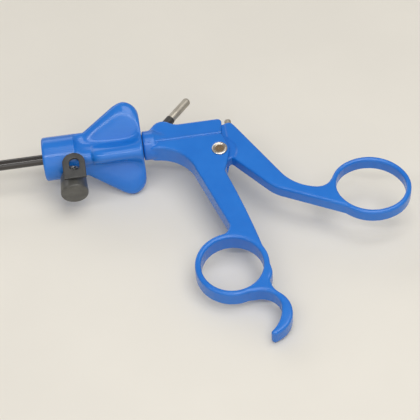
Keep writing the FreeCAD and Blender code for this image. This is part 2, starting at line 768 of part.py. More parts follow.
round_edges(lever, "LeverEdges", lever_round, lever_rim)
sketch = make_sketch(lever, "BladeOutline", "XY_Plane")
blade_half = fork_half - side_play
closed(sketch, [
    (head_front + 2.1, head_top - 0.6),
    (pivot_x - 3.7, head_top - 0.6),
    (pivot_x - 3.9, -pivot_y + 8.0),
    (pivot_x - blade_r, -pivot_y, blade_r),
    (pivot_x + blade_r * cos_of(lower), -pivot_y + blade_r * sin_of(lower)),
    (pivot_x + (swing_r + 1.6) * cos_of(lower), -pivot_y + (swing_r + 1.6) * sin_of(lower)),
    (pivot_x + 10.6, -pivot_y),
])
pad(lever, "Blade", sketch, 2 * blade_half)
doc.recompute()
sketch = make_sketch(lever, "LeverBoreSketch", "XY_Plane")
circle_in(sketch, pivot_x, -pivot_y, rivet_r + running)
pocket(lever, "LeverBore", sketch)

# Ball seat: an upright oval, since the ball keeps to the shaft axis while the seat swings
seat_half = ball_r + 0.35
seat_rise = pivot_y / cos_of(close_angle) - pivot_y
sketch = make_sketch(lever, "BallSeatSketch", "XY_Plane")
closed(sketch, [
    (pivot_x - seat_half, -0.3, 1.03 * seat_half),
    (pivot_x + seat_half, -0.3),
    (pivot_x + seat_half, seat_rise + 0.3, 1.03 * seat_half),
    (pivot_x - seat_half, seat_rise + 0.3),
])
pocket(lever, "BallSeat", sketch)
fan = tan_of(close_angle)
sketch = make_sketch(lever, "NeckSlotSketch", "XY_Plane")
closed(sketch, [
    (pivot_x, ball_neck + 0.9 + seat_rise),
    (pivot_x - 9.0, ball_neck + 0.9),
    (pivot_x - 9.0, -(9.0 * fan) - ball_neck - 0.6),
    (pivot_x, -ball_neck - 0.5),
])
pocket(lever, "NeckSlot", sketch, 2 * (ball_neck + 0.35))
sketch = make_sketch(lever, "ScrewBore", "XY_Plane", (screw_x, 0, 0, 0))
closed(sketch, [
    (0.0, head_top - screw_deep),
    (screw_core, head_top - screw_deep),
    (screw_core, head_top + 2.0),
    (0.0, head_top + 2.0),
])
turn(lever, "ScrewHole", sketch, cut=True, axis="V_Axis")

# Screw on the lever head
screw = make_body("Screw", "ball_retaining_screw")
sketch = make_sketch(screw, "ScrewProfile", "XY_Plane")
closed(sketch, [
    (0.0, head_top - screw_deep),
    (screw_core, head_top - screw_deep),
    (screw_core, head_top),
    (screw_r, head_top),
    (screw_r, screw_top - 0.6, 0.6),
    (screw_r - 0.6, screw_top),
    (0.0, screw_top),
])
turn(screw, "Shank", sketch, axis="V_Axis")
place(screw, screw_x, 0.0)

# Flush housing: metal hub that holds the tube and the port
hub = make_body("Hub", "flush_housing")
sketch = make_sketch(hub, "HubProfile", "XY_Plane")
closed(sketch, [
    (knob_wall, sleeve_r - root_step),
    (sleeve_root, sleeve_r - root_step),
    (sleeve_root, tube_r),
    (tube_back, tube_r),
    (tube_back, rod_bore),
    (housing_end, rod_bore),
    (housing_end, housing_r),
    (knob_wall, housing_r),
])
turn(hub, "Block", sketch)
sketch = make_sketch(hub, "HubPortSketch", "XZ_Plane", (port_x, 0, tube_r + 0.4, 0))
circle_in(sketch, 0.0, 0.0, port_r)
pocket(hub, "HubPort", sketch, housing_r, both=False, back=True)
sketch = make_sketch(hub, "HubFlushSketch", "XZ_Plane", (port_x, 0, 0, 0))
circle_in(sketch, 0.0, 0.0, flush_hole)
pocket(hub, "HubFlush", sketch, housing_r, both=False, back=True)

# Spindle: clamps the knob and turns in the neck bushing
spindle = make_body("Spindle", "hub_spindle")
sketch = make_sketch(spindle, "SpindleProfile", "XY_Plane")
seal_half = seal_r + 0.05
seal_ring = rod_back_r + running + seal_r
clip_x = bush_end + 0.15
closed(sketch, [
    (housing_end, rod_bore),
    (seal_x - seal_half, rod_bore),
    (seal_x - seal_half, seal_ring + seal_r),
    (seal_x + seal_half, seal_ring + seal_r),
    (seal_x + seal_half, rod_bore),
    (axle_end, rod_bore),
    (axle_end, axle_r - 0.3),
    (axle_end - 0.3, axle_r),
    (clip_x + clip_thick, axle_r),
    (clip_x + clip_thick, clip_groove),
    (clip_x, clip_groove),
    (clip_x, axle_r),
    (knob_end, axle_r),
    (knob_end, spindle_r),
    (housing_end, spindle_r),
])
turn(spindle, "Axle", sketch)

# Retaining clip in the spindle's groove, with a gap to spring it open
clip = make_body("Clip", "spindle_clip")
sketch = make_sketch(clip, "ClipProfile", "XY_Plane")
closed(sketch, [
    (clip_x, clip_groove),
    (clip_x + clip_thick, clip_groove),
    (clip_x + clip_thick, clip_r),
    (clip_x, clip_r),
])
turn(clip, "Ring", sketch)
sketch = make_sketch(clip, "ClipGapSketch", "YZ_Plane")
closed(sketch, [
    (-1.2, 0.0),
    (1.2, 0.0),
    (1.2, clip_r + 1.0),
    (-1.2, clip_r + 1.0),
])
pocket(clip, "ClipGap", sketch, 4 * (clip_x + clip_thick))

# Rod seal: a rubber ring in the spindle
seal = doc.addObject("Part::Torus", "Seal")
seal.Label = "tube_seal"
bind(seal, "Radius1", seal_ring)
bind(seal, "Radius2", seal_r)
seal.Placement = Placement(Vector(seal_x.value, 0, 0), Rotation(Vector(0, 1, 0), 90))
bind(seal, "Placement.Base.x", seal_x)

# Flush port: a tube with a foot on the nose, bored through to the hub
port = make_body("Port", "flush_port")
sketch = make_sketch(port, "PortProfile", "XY_Plane")
closed(sketch, [
    (-port_bore, -tube_r - 0.4),
    (-port_bore, -port_end),
    (-port_r, -port_end),
    (-port_r, -nose_r - 0.8),
    (-boss_r, -nose_r - 0.8),
    (-boss_r, -nose_r + 1.2),
    (-port_r, -nose_r + 1.2),
    (-port_r, -tube_r - 0.4),
])
turn(port, "Tube", sketch, axis="V_Axis")
place(port, port_x, 0.0)

# Cap: a rubber stopper over the port
cap = make_body("Cap", "flush_cap")
sketch = make_sketch(cap, "CapProfile", "XY_Plane")
closed(sketch, [
    (-(port_r + running), -cap_base),
    (-(port_r + running), -port_end - 0.3),
    (0.0, -port_end - 0.3),
    (0.0, -cap_top),
    (-cap_r + 0.9, -cap_top, -0.9),
    (-cap_r, -cap_top + 0.9),
    (-cap_r + 0.5, -cap_base),
])
turn(cap, "Stopper", sketch, axis="V_Axis")
place(cap, port_x, 0.0)

# Strap: a ring under the cap and a flat loop that leans on the nose
strap = make_body("Strap", "cap_tether")
sketch = make_sketch(strap, "StrapRingSketch", "XZ_Plane", (0, 0, nose_r + 0.8, 0))
circle_in(sketch, 0.0, 0.0, strap_ring_r)
circle_in(sketch, 0.0, 0.0, port_r)
pad(strap, "StrapRing", sketch, strap_thick, both=False)
doc.recompute()
sketch = make_sketch(strap, "StrapTabSketch", "XZ_Plane", (0, 0, nose_r + 0.8, 0))
strap_lean = Rotation(Vector(1, 0, 0), strap_tilt.value)
strap_lift = (nose_r + 0.05 - strap_low * sin_of(strap_tilt)) / cos_of(strap_tilt)
closed(sketch, [
    (-2.0, strap_ring_r - 0.9),
    (2.0, strap_ring_r - 0.9),
    (2.0, strap_lift + 2.0),
    (-2.0, strap_lift + 2.0),
])
pad(strap, "StrapTab", sketch, strap_thick, both=False)
doc.recompute()
sketch = strap.newObject("Sketcher::SketchObject", "StrapLoopSketch")
sketch.AttachmentSupport = [(plane_of(strap, "XY_Plane"), "")]
sketch.MapMode = "FlatFace"
sketch.AttachmentOffset = Placement(Vector(0, -strap_low.value, strap_lift.value), strap_lean)
bind(sketch, "AttachmentOffset.Base.y", -strap_low)
bind(sketch, "AttachmentOffset.Base.z", strap_lift)
bind(sketch, "AttachmentOffset.Base.x", strap_shift)
bind(sketch, "AttachmentOffset.Rotation.Angle", strap_tilt)
closed(sketch, [
    (-strap_half, 0.0),
    (strap_half, 0.0),
    (strap_half, strap_reach - strap_half, 1.02 * strap_half),
    (-strap_half, strap_reach - strap_half),
])
pad(strap, "StrapLoop", sketch, strap_thick, both=False)
doc.recompute()
sketch = strap.newObject("Sketcher::SketchObject", "StrapHoleSketch")
sketch.AttachmentSupport = [(plane_of(strap, "XY_Plane"), "")]
sketch.MapMode = "FlatFace"
sketch.AttachmentOffset = Placement(Vector(0, -strap_low.value, strap_lift.value), strap_lean)
bind(sketch, "AttachmentOffset.Base.y", -strap_low)
bind(sketch, "AttachmentOffset.Base.z", strap_lift)
bind(sketch, "AttachmentOffset.Base.x", strap_shift)
bind(sketch, "AttachmentOffset.Rotation.Angle", strap_tilt)
hole_left = strap_front - strap_half
hole_right = strap_half - strap_rear
hole_round = 0.55 * (hole_right - hole_left)
closed(sketch, [
    (hole_left, strap_rear + hole_round, hole_round),
    (hole_right, strap_rear + hole_round),
    (hole_right, strap_reach - strap_rear - hole_round, hole_round),
    (hole_left, strap_reach - strap_rear - hole_round),
])
pocket(strap, "StrapHole", sketch, 4 * strap_thick)
place(strap, port_x, 0.0)


def read(thing):
    """A plain size read back from the sheet."""
    return float(sheet.get(thing.text.split(".")[1]))


# Knob and nose in one moulding: two wings, two grip lobes and four scoops between them
def knob_section(x):
    nose = read(nose_r)
    end = read(knob_end)
    start = read(scoop_start)
    share = min(max((x - start) / (end - start), 0.0), 1.0)
    scoop = nose - read(scoop_deep) * math.sin(math.pi * share ** 0.85)
    slope = math.tan(math.radians(read(wing_rise)))
    wing = nose + slope * (x - read(wing_start))
    top = read(wing_r)
    turn_in = 3.5
    full = read(wing_start) + (top - nose) / slope
    if x < full - turn_in:
        wing = max(wing, nose)
    else:
        near = min((x - full + turn_in) / (2.0 * turn_in), 1.0)
        base = nose + slope * (full - turn_in - read(wing_start))
        wing = base + (top - base) * (2.0 * near - near * near)
    begin = read(lobe_start)
    grow = min(max((x - begin) / 6.0, 0.0), 1.0)
    lobe = nose - 0.1 + (read(lobe_r) - nose) * math.sqrt(max(1.0 - (1.0 - grow) ** 2, 0.0))
    rear = end - x
    corner = read(wing_corner)
    if rear < corner:
        wing -= corner - math.sqrt(max(corner ** 2 - (corner - rear) ** 2, 0.0))
    if rear < 1.2:
        drop = 1.2 - math.sqrt(max(1.2 ** 2 - (1.2 - rear) ** 2, 0.0))
        lobe -= drop
        scoop -= drop
    points = []
    steps = 60
    for i in range(steps):
        turn_now = 2.0 * math.pi * i / steps
        radius = scoop + (wing - scoop) * math.cos(turn_now) ** 10
        radius += (lobe - scoop) * math.sin(turn_now) ** 20
        way = turn_now + math.radians(read(wing_turn))
        points.append(Vector(x, radius * math.cos(way), radius * math.sin(way)))
    curve = Part.BSplineCurve()
    curve.interpolate(Points=points, PeriodicFlag=True)
    return Part.Wire([curve.toShape()])


def tube(radius, start, stop):
    return Part.makeCylinder(radius, stop - start, Vector(start, 0, 0), Vector(1, 0, 0))


rear = read(knob_end)
first = read(scoop_start) - 1.5
stations = [first + 1.5, 18.0, 21.0, 24.0, 26.5, 29.5, 33.0, 36.5, 39.5, 42.0]
stations += [rear - back for back in (3.75, 2.4, 1.2, 0.6, 0.22, 0.0)]
ring = Part.Circle(Vector(0, 0, 0), Vector(1, 0, 0), read(nose_r)).toShape()
lead = ring.Vertexes[0].Point
ring.rotate(Vector(0, 0, 0), Vector(1, 0, 0), read(wing_turn) - math.degrees(math.atan2(lead.z, lead.y)))
ring.translate(Vector(first, 0, 0))
body = Part.makeLoft([Part.Wire([ring])] + [knob_section(x) for x in stations], True, False)
front = tube(read(nose_r), 0.0, first)
edge = [item for item in front.Edges if len(item.Vertexes) == 1 and abs(item.CenterOfMass.x) < 0.01]
front = front.makeFillet(read(nose_round), edge)
body = body.fuse(front)
body = body.cut(tube(read(sleeve_r) - read(root_step), -1.0, rear + 1.0))
body = body.cut(tube(read(housing_r), read(knob_wall), rear + 1.0))
body = body.cut(tube(read(spindle_r), read(housing_end), rear + 1.0))
spot = Vector(read(port_x), 0, 0)
down = Vector(0, -1, 0)
body = body.cut(Part.makeCylinder(read(port_r), 40.0, spot, down))
seat = Vector(read(port_x), -read(nose_r) + 1.2, 0)
body = body.cut(Part.makeCylinder(read(boss_r), 10.0, seat, down))
knob = doc.addObject("Part::Feature", "Knob")
knob.Label = "rotation_knob"
knob.Shape = body.removeSplitter()
knob.Placement = Placement()

# Steel tube with a flush hole, and its insulation
steel = make_body("SteelTube", "shaft_tube")
tube_in = tube_r - tube_wall
tube_front = -shaft_len - tube_bare
sketch = make_sketch(steel, "TubeProfile", "XY_Plane")
closed(sketch, [
    (tube_front, tube_in),
    (tube_back, tube_in),
    (tube_back, tube_r),
    (tube_front, tube_r),
])
turn(steel, "Tube", sketch)
sketch = make_sketch(steel, "TubeFlushSketch", "XZ_Plane", (port_x, 0, 0, 0))
circle_in(sketch, 0.0, 0.0, flush_hole)
pocket(steel, "TubeFlush", sketch, 2 * tube_r, both=False, back=True)
sleeve = make_body("Insulation", "shaft_insulation")
sketch = make_sketch(sleeve, "SleeveProfile", "XY_Plane")
closed(sketch, [
    (-shaft_len, tube_r),
    (sleeve_root, tube_r),
    (sleeve_root, sleeve_r - root_step),
    (0.0, sleeve_r - root_step),
    (0.0, sleeve_r),
    (-shaft_len, sleeve_r),
])
turn(sleeve, "Sleeve", sketch)

# Clevis: sleeve on the tube end, then two cheeks beside the jaw tails
clevis = make_body("Clevis", "jaw_clevis")
slot_x = -shaft_len - clevis_sleeve
nose_x = -shaft_len - jaw_pivot - cheek_nose
sketch = make_sketch(clevis, "ClevisProfile", "XY_Plane")
closed(sketch, [
    (-shaft_len, clevis_r),
    (nose_x + 0.9, clevis_r, 0.9),
    (nose_x, clevis_r - 0.9),
    (nose_x, 0.0),
    (slot_x, 0.0),
    (slot_x, tube_in),
    (tube_front, tube_in),
    (tube_front, tube_r),
    (-shaft_len, tube_r),
])
turn(clevis, "ClevisTurned", sketch)
sketch = make_sketch(clevis, "ClevisSlotSketch", "XZ_Plane")
closed(sketch, [
    (nose_x - 1.0, -jaw_slot),
    (slot_x, -jaw_slot),
    (slot_x, jaw_slot),
    (nose_x - 1.0, jaw_slot),
])
pocket(clevis, "ClevisSlot", sketch)
jaw_x = -shaft_len - jaw_pivot
sketch = make_sketch(clevis, "JawPinSketch", "XY_Plane")
circle_in(sketch, jaw_x, 0.0, jaw_pin_r)
pocket(clevis, "JawPinBore", sketch)


def pin(name, label, x, radius, half):
    item = doc.addObject("Part::Cylinder", name)
    item.Label = label
    bind(item, "Radius", radius)
    bind(item, "Height", 2 * half)
    item.Placement = Placement(Vector(x.value, 0, -half.value), Rotation())
    bind(item, "Placement.Base.x", x)
    bind(item, "Placement.Base.z", -half)
    return item


jaw_pin = pin("JawPin", "jaw_pin", jaw_x, jaw_pin_r, clevis_r - 0.1)
drive_x = jaw_x + tail_near
drive_pin = pin("DrivePin", "drive_pin", drive_x, drive_pin_r, jaw_slot - side_play)

# Rod tongue: flat blade between the jaw tails, with a ferrule on the rod
tongue = make_body("Tongue", "rod_tongue")
ferrule_x = drive_x + tongue_len
sketch = make_sketch(tongue, "FerruleProfile", "XY_Plane")
closed(sketch, [
    (ferrule_x, 0.0),
    (ferrule_x + 0.6, 0.0),
    (ferrule_x + 0.6, rod_r),
    (ferrule_x + ferrule_len, rod_r),
    (ferrule_x + ferrule_len, ferrule_r),
    (ferrule_x, ferrule_r),
])
turn(tongue, "Ferrule", sketch)
sketch = make_sketch(tongue, "TongueOutline", "XY_Plane")
closed(sketch, [
    (drive_x, -tongue_high),
    (ferrule_x + 0.3, -tongue_high),
    (ferrule_x + 0.3, tongue_high),
    (drive_x, tongue_high, 1.02 * tongue_high),
])
pad(tongue, "TongueBlade", sketch, 2 * tongue_half)
doc.recompute()
sketch = make_sketch(tongue, "TonguePinSketch", "XY_Plane")
circle_in(sketch, drive_x, 0.0, drive_pin_r)
pocket(tongue, "TonguePinBore", sketch)

# Drive rod with its thicker rear part and the neck of the ball
rod = make_body("Rod", "drive_rod")
sketch = make_sketch(rod, "RodProfile", "XY_Plane")
closed(sketch, [
    (ferrule_x + 0.6, 0.0),
    (pivot_x + 0.6, 0.0),
    (pivot_x + 0.6, ball_neck),
    (pivot_x - neck_len, ball_neck),
    (pivot_x - neck_len, rod_back_r),
    (rod_step, rod_back_r),
    (rod_step, rod_r),
    (ferrule_x + 0.6, rod_r),
])
turn(rod, "RodTurned", sketch)
ball = make_body("Ball", "rod_ball")
sketch = make_sketch(ball, "BallProfile", "XY_Plane")
shoulder = 1.645
closed(sketch, [
    (0.6, 0.0),
    (ball_r, 0.0, 1.0 * ball_r),
    (0.0, ball_r, 1.0 * ball_r),
    (-0.86 * ball_r, 0.51 * ball_r),
    (-0.86 * ball_r, ball_neck),
    (0.6, ball_neck),
])
turn(ball, "BallTurned", sketch)
place(ball, pivot_x, 0.0)


# Jaws: curved half-round blades with cross teeth; the slot in each tail turns the jaw
def jaw_shape(side):
    gap = read(bite_gap)
    length = read(jaw_len)
    root = read(jaw_root)
    low = read(tongue_half) + read(side_play)
    high = read(jaw_slot) - read(side_play)
    near = read(tail_near)
    swing = math.radians(read(jaw_open))
    stroke = read(pivot_y) * math.tan(math.radians(read(close_angle)))
    reach = length - 1.0

    def half_round(x, wide, deep):
        mid = read(jaw_curve) * (x / length) ** 2
        left = Vector(x, gap, mid - wide)
        right = Vector(x, gap, mid + wide)
        crown = Vector(x, gap + deep, mid)
        flat = Part.makeLine(left, right)
        return Part.Wire([flat, Part.Arc(right, crown, left).toShape()])

    wires = []
    for i in range(7):
        share = i / 6.0
        wide = read(jaw_wide) + (read(jaw_tip) - read(jaw_wide)) * share
        deep = read(jaw_deep) + (read(jaw_tip_deep) - read(jaw_deep)) * share
        wires.append(half_round(-(root + (reach - root) * share), wide, deep))
    blade = Part.makeLoft(wires, True, False)
    wires = []
    for i in range(5):
        share = 0.97 * math.sin(math.pi / 2 * i / 4.0)
        left = math.sqrt(1.0 - share ** 2)
        spot = -(reach + (length - reach) * share)
        wires.append(half_round(spot, read(jaw_tip) * left, read(jaw_tip_deep) * left))
    blade = blade.fuse(Part.makeLoft(wires, True, False))
    pitch = read(tooth_pitch)
    deep = read(tooth_deep)
    count = int((reach - root - 2.0) / pitch)
    for i in range(count):
        x = -(root + 1.5 + pitch * i)
        corners = [
            Vector(x - pitch * 0.38, gap - 0.05, -4.0),
            Vector(x + pitch * 0.38, gap - 0.05, -4.0),
            Vector(x, gap + deep, -4.0),
        ]
        notch = Part.Face(Part.makePolygon(corners + corners[:1]))
        blade = blade.cut(notch.extrude(Vector(0, 0, 12.0)))
    if side < 0:
        blade = blade.mirror(Vector(0, 0, 0), Vector(0, 1, 0))
    thick = high - low
    hub_disc = Part.makeCylinder(read(hub_r), thick, Vector(0, 0, low))
    neck = Part.makeBox(root + 0.5, 1.5, thick, Vector(-root - 0.5, gap, low))
    points = []
    for share in (1.0, 0.5, 0.0):
        angle = swing * share
        reach_now = near + stroke * (1.0 - share)
        points.append(Vector(reach_now * math.cos(angle), reach_now * math.sin(angle), low))
    band = read(drive_pin_r) + read(tail_band)
    inner = arc_band(points, band, thick)
    slot = arc_band(points, read(drive_pin_r) + read(running), thick + 1.0)
    web = Part.Face(Part.makePolygon([
        Vector(0.0, read(hub_r) - 0.02, low),
        Vector(0.0, -read(hub_r) + 0.6, low),
        Vector(points[1].x, points[1].y - band * 0.9, low),
        Vector(points[0].x, points[0].y + band * 0.98, low),
        Vector(0.0, read(hub_r) - 0.02, low),
    ])).extrude(Vector(0, 0, thick))
    slot.translate(Vector(0, 0, -0.5))
    tail = hub_disc.fuse([neck, inner, web]).cut(slot)
    bore_line = Part.makeCylinder(read(jaw_pass), 40.0, Vector(-20, 0, 0), Vector(1, 0, 0))
    tail = tail.common(bore_line)
    if side < 0:
        tail = tail.mirror(Vector(0, 0, 0), Vector(0, 1, 0)).mirror(Vector(0, 0, 0), Vector(0, 0, 1))
    shape = blade.fuse(tail)
    bore = Part.makeCylinder(read(jaw_pin_r) + read(running), 10.0, Vector(0, 0, -5.0))
    shape = shape.cut(bore)
    shape = shape.removeSplitter()
    return shape


def arc_band(points, half, thick):
    """A band of the given half width round the arc through three points, with round ends."""
    arc = Part.Arc(points[0], points[1], points[2]).toShape().Curve
    centre = arc.Center
    radius = arc.Radius
    outer = []
    inner = []
    for point in points:
        way = (point - centre).normalize()
        outer.append(centre + way * (radius + half))
        inner.append(centre + way * (radius - half))
    first = (points[0] - centre).normalize()
    last = (points[2] - centre).normalize()
    axis = Vector(0, 0, 1)
    back = axis.cross(first)
    if back.dot(points[2] - points[0]) > 0:
        back = back * -1
    ahead = axis.cross(last)
    if ahead.dot(points[2] - points[0]) < 0:
        ahead = ahead * -1
    edges = [
        Part.Arc(outer[0], outer[1], outer[2]).toShape(),
        Part.Arc(outer[2], points[2] + ahead * half, inner[2]).toShape(),
        Part.Arc(inner[2], inner[1], inner[0]).toShape(),
        Part.Arc(inner[0], points[0] + back * half, outer[0]).toShape(),
    ]
    face = Part.Face(Part.Wire(edges))
    return face.extrude(Vector(0, 0, thick))


upper_jaw = doc.addObject("Part::Feature", "UpperJaw")
upper_jaw.Label = "upper_jaw"
upper_jaw.Shape = jaw_shape(1)
upper_jaw.Placement = Placement(
    Vector(jaw_x.value, 0, 0), Rotation(Vector(0, 0, 1), -read(jaw_open)))
lower_jaw = doc.addObject("Part::Feature", "LowerJaw")
lower_jaw.Label = "lower_jaw"
lower_jaw.Shape = jaw_shape(-1)
lower_jaw.Placement = Placement(
    Vector(jaw_x.value, 0, 0), Rotation(Vector(0, 0, 1), read(jaw_open)))

doc.recompute()

# Every size arrived where it belongs, and every shape is whole
for thing, path, value in bound:
    if path.startswith("Constraints["):
        found = thing.Constraints[int(path[12:-1])].Value
    elif path.startswith("Placement.Base.") or path.startswith("AttachmentOffset.Base."):
        found = getattr(getattr(thing, path.split(".")[0]).Base, path[-1])
    elif path.endswith("Rotation.Angle"):
        found = math.degrees(getattr(thing, path.split(".")[0]).Rotation.Angle)
    else:
        found = getattr(thing, path).Value
    if abs(found - value) > 1e-4:
        raise ValueError("%s %s is %.5f, not %.5f" % (thing.Name, path, found, value))
for item in doc.Objects:
    if "Invalid" in item.State or "Error" in item.State:
        raise ValueError("%s failed: %s" % (item.Name, item.State))

nodes = [
    handle, bush, rivet, post, collar, leaf, lever, screw, knob, hub, spindle, clip, seal,
    port, cap, strap, steel, sleeve, clevis, jaw_pin, upper_jaw, lower_jaw, rod, ball,
    tongue, drive_pin,
]
for node in nodes:
    shape = node.Shape
    if shape.isNull() or not shape.isValid() or len(shape.Solids) != 1:
        raise ValueError("%s is not one whole solid" % node.Label)
for node in nodes:
    node.Shape.exportStep("parts/%s.step" % node.Label)
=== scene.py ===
import json
import math

import bmesh
import bpy
from bpy.props import FloatProperty, FloatVectorProperty, PointerProperty
from mathutils import Matrix, Vector

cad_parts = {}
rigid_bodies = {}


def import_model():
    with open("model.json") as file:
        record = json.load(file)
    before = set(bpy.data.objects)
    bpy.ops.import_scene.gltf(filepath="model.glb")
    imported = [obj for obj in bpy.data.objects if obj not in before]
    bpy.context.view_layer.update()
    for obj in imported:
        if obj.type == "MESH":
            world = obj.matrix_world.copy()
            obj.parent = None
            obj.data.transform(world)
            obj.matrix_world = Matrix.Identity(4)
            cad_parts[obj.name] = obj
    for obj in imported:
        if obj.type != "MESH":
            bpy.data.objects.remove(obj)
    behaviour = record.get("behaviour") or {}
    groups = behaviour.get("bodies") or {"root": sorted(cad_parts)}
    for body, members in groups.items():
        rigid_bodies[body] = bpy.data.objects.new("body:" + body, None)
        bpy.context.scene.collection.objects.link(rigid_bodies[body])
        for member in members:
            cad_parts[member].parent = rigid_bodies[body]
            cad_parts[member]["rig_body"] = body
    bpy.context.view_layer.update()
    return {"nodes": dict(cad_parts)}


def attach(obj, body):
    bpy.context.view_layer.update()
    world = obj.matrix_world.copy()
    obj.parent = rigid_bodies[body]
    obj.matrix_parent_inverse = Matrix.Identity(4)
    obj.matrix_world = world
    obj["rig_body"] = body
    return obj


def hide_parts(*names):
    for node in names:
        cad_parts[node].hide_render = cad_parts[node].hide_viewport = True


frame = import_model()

bl_info = {
    "name": "Dissecting forceps",
    "version": (1, 0, 0),
    "blender": (4, 5, 0),
    "location": "3D View > Sidebar > Forceps",
    "description": "Builds the look of 5 mm laparoscopic dissecting forceps round their CAD frame",
    "category": "Object",
}

NODES = frame["nodes"]

# The photograph's frame: its side, its middle and the pixel of the shaft's root
FRAME_SIDE = 420.0
FRAME_MIDDLE = 210.0
ROOT_PIXEL = (43.8, 159.7)
SENSOR_WIDTH = 36.0


# Sizes and colours that a user would change

class ForcepsColours(bpy.types.PropertyGroup):
    blue: FloatVectorProperty(
        name="Handle blue", description="Colour of the moulded handle, lever and knob",
        subtype="COLOR", size=3, min=0.0, max=1.0, default=(0.006, 0.152, 0.590))
    blue_worn: FloatVectorProperty(
        name="Handled blue", description="Paler blue where hands have dulled the plastic",
        subtype="COLOR", size=3, min=0.0, max=1.0, default=(0.010, 0.172, 0.630))
    sleeve: FloatVectorProperty(
        name="Shaft sleeve", description="Colour of the insulation on the shaft",
        subtype="COLOR", size=3, min=0.0, max=1.0, default=(0.026, 0.022, 0.020))
    rubber: FloatVectorProperty(
        name="Cap rubber", description="Colour of the flush cap and its strap",
        subtype="COLOR", size=3, min=0.0, max=1.0, default=(0.072, 0.071, 0.065))
    steel: FloatVectorProperty(
        name="Steel", description="Colour of the bare steel pieces",
        subtype="COLOR", size=3, min=0.0, max=1.0, default=(0.58, 0.55, 0.50))
    strap: FloatVectorProperty(
        name="Strap rubber", description="Colour of the strap that holds the flush cap",
        subtype="COLOR", size=3, min=0.0, max=1.0, default=(0.034, 0.034, 0.034))
    cloth: FloatVectorProperty(
        name="Table", description="Colour of the pale table under the forceps",
        subtype="COLOR", size=3, min=0.0, max=1.0, default=(0.745, 0.716, 0.655))


class ForcepsSizes(bpy.types.PropertyGroup):
    nose_radius: FloatProperty(
        name="Nose radius", description="Radius of the round nose of the knob",
        subtype="DISTANCE", unit="LENGTH", default=0.0105)
    nose_edge: FloatProperty(
        name="Nose edge", description="Rounding of the front edge of the nose",
        subtype="DISTANCE", unit="LENGTH", default=0.0012)
    knob_length: FloatProperty(
        name="Knob length", description="Length of nose and knob together",
        subtype="DISTANCE", unit="LENGTH", default=0.04795)
    wing_radius: FloatProperty(
        name="Wing radius", description="Distance of the wing tips from the shaft axis",
        subtype="DISTANCE", unit="LENGTH", default=0.0228)
    lobe_radius: FloatProperty(
        name="Lobe radius", description="Distance of the grip lobes from the shaft axis",
        subtype="DISTANCE", unit="LENGTH", default=0.0133)
    scoop_depth: FloatProperty(
        name="Scoop depth", description="Depth of the scoops between wings and lobes",
        subtype="DISTANCE", unit="LENGTH", default=0.0036)
    wing_corner: FloatProperty(
        name="Wing corner", description="Rounding of the rear corners of the wings",
        subtype="DISTANCE", unit="LENGTH", default=0.008)
    wing_turn: FloatProperty(
        name="Wing turn", description="Turn of the wings out of the handle plane",
        subtype="ANGLE", unit="ROTATION", default=math.radians(50.4))
    bead_radius: FloatProperty(
        name="Bead radius", description="Radius of the rounded edge under the rod housing",
        subtype="DISTANCE", unit="LENGTH", default=0.0006)


class ForcepsStage(bpy.types.PropertyGroup):
    lens: FloatProperty(
        name="Lens", description="Focal length of the camera on a 36 mm sensor, in millimetres",
        default=130.29)
    tilt: FloatProperty(
        name="Camera height", description="Height of the camera above the handle plane",
        subtype="ANGLE", unit="ROTATION", default=math.radians(53.5))
    heading: FloatProperty(
        name="Camera heading", description="Turn of the camera round the handle",
        subtype="ANGLE", unit="ROTATION", default=math.radians(4.0))
    roll: FloatProperty(
        name="Camera roll", description="Turn of the picture",
        subtype="ANGLE", unit="ROTATION", default=math.radians(-4.68))
    distance: FloatProperty(
        name="Camera distance", description="Depth of the shaft's root in front of the camera",
        subtype="DISTANCE", unit="LENGTH", default=0.732)
    key_power: FloatProperty(
        name="Key light", description="Power of the large overhead light, in watts", default=4.4)
    front_power: FloatProperty(
        name="Front light", description="Power of the soft light in front, in watts", default=2.4)
    back_power: FloatProperty(
        name="Back light", description="Power of the low light behind, in watts", default=2.0)
    strip_power: FloatProperty(
        name="Strip light", description="Power of the narrow light above the front, in watts",
        default=3.2)


# Small helpers for materials

def new_material(name):
    """A material with its node tree and its shader."""
    material = bpy.data.materials.new(name)
    material.use_nodes = True
    shader = material.node_tree.nodes["Principled BSDF"]
    return material, material.node_tree, shader


def add(tree, kind, **inputs):
    """Adds a node and sets its inputs."""
    node = tree.nodes.new(kind)
    for key, value in inputs.items():
        node.inputs[key.replace("_", " ")].default_value = value
    return node


def object_noise(tree, scale, detail=3.0, stretch=(1.0, 1.0, 1.0)):
    """Noise on Object coordinates, stretched where a finish has a direction."""
    place = tree.nodes.new("ShaderNodeTexCoord")
    mapping = tree.nodes.new("ShaderNodeMapping")
    mapping.inputs["Scale"].default_value = stretch
    tree.links.new(place.outputs["Object"], mapping.inputs["Vector"])
    noise = add(tree, "ShaderNodeTexNoise", Scale=scale, Detail=detail, Roughness=0.55)
    tree.links.new(mapping.outputs["Vector"], noise.inputs["Vector"])
    return noise


def spread(tree, socket, low, high, floor=0.35, ceiling=0.65):
    """Maps a noise onto a range of values."""
    node = tree.nodes.new("ShaderNodeMapRange")
    node.inputs["From Min"].default_value = floor
    node.inputs["From Max"].default_value = ceiling
    node.inputs["To Min"].default_value = low
    node.inputs["To Max"].default_value = high
    tree.links.new(socket, node.inputs["Value"])
    return node.outputs["Result"]


def two_tone(tree, socket, first, second):
    """Blends two colours by a noise."""
    ramp = tree.nodes.new("ShaderNodeValToRGB")
    ramp.color_ramp.elements[0].position = 0.38
    ramp.color_ramp.elements[1].position = 0.66
    ramp.color_ramp.elements[0].color = (*first, 1.0)
    ramp.color_ramp.elements[1].color = (*second, 1.0)
    tree.links.new(socket, ramp.inputs["Fac"])
    return ramp.outputs["Color"]


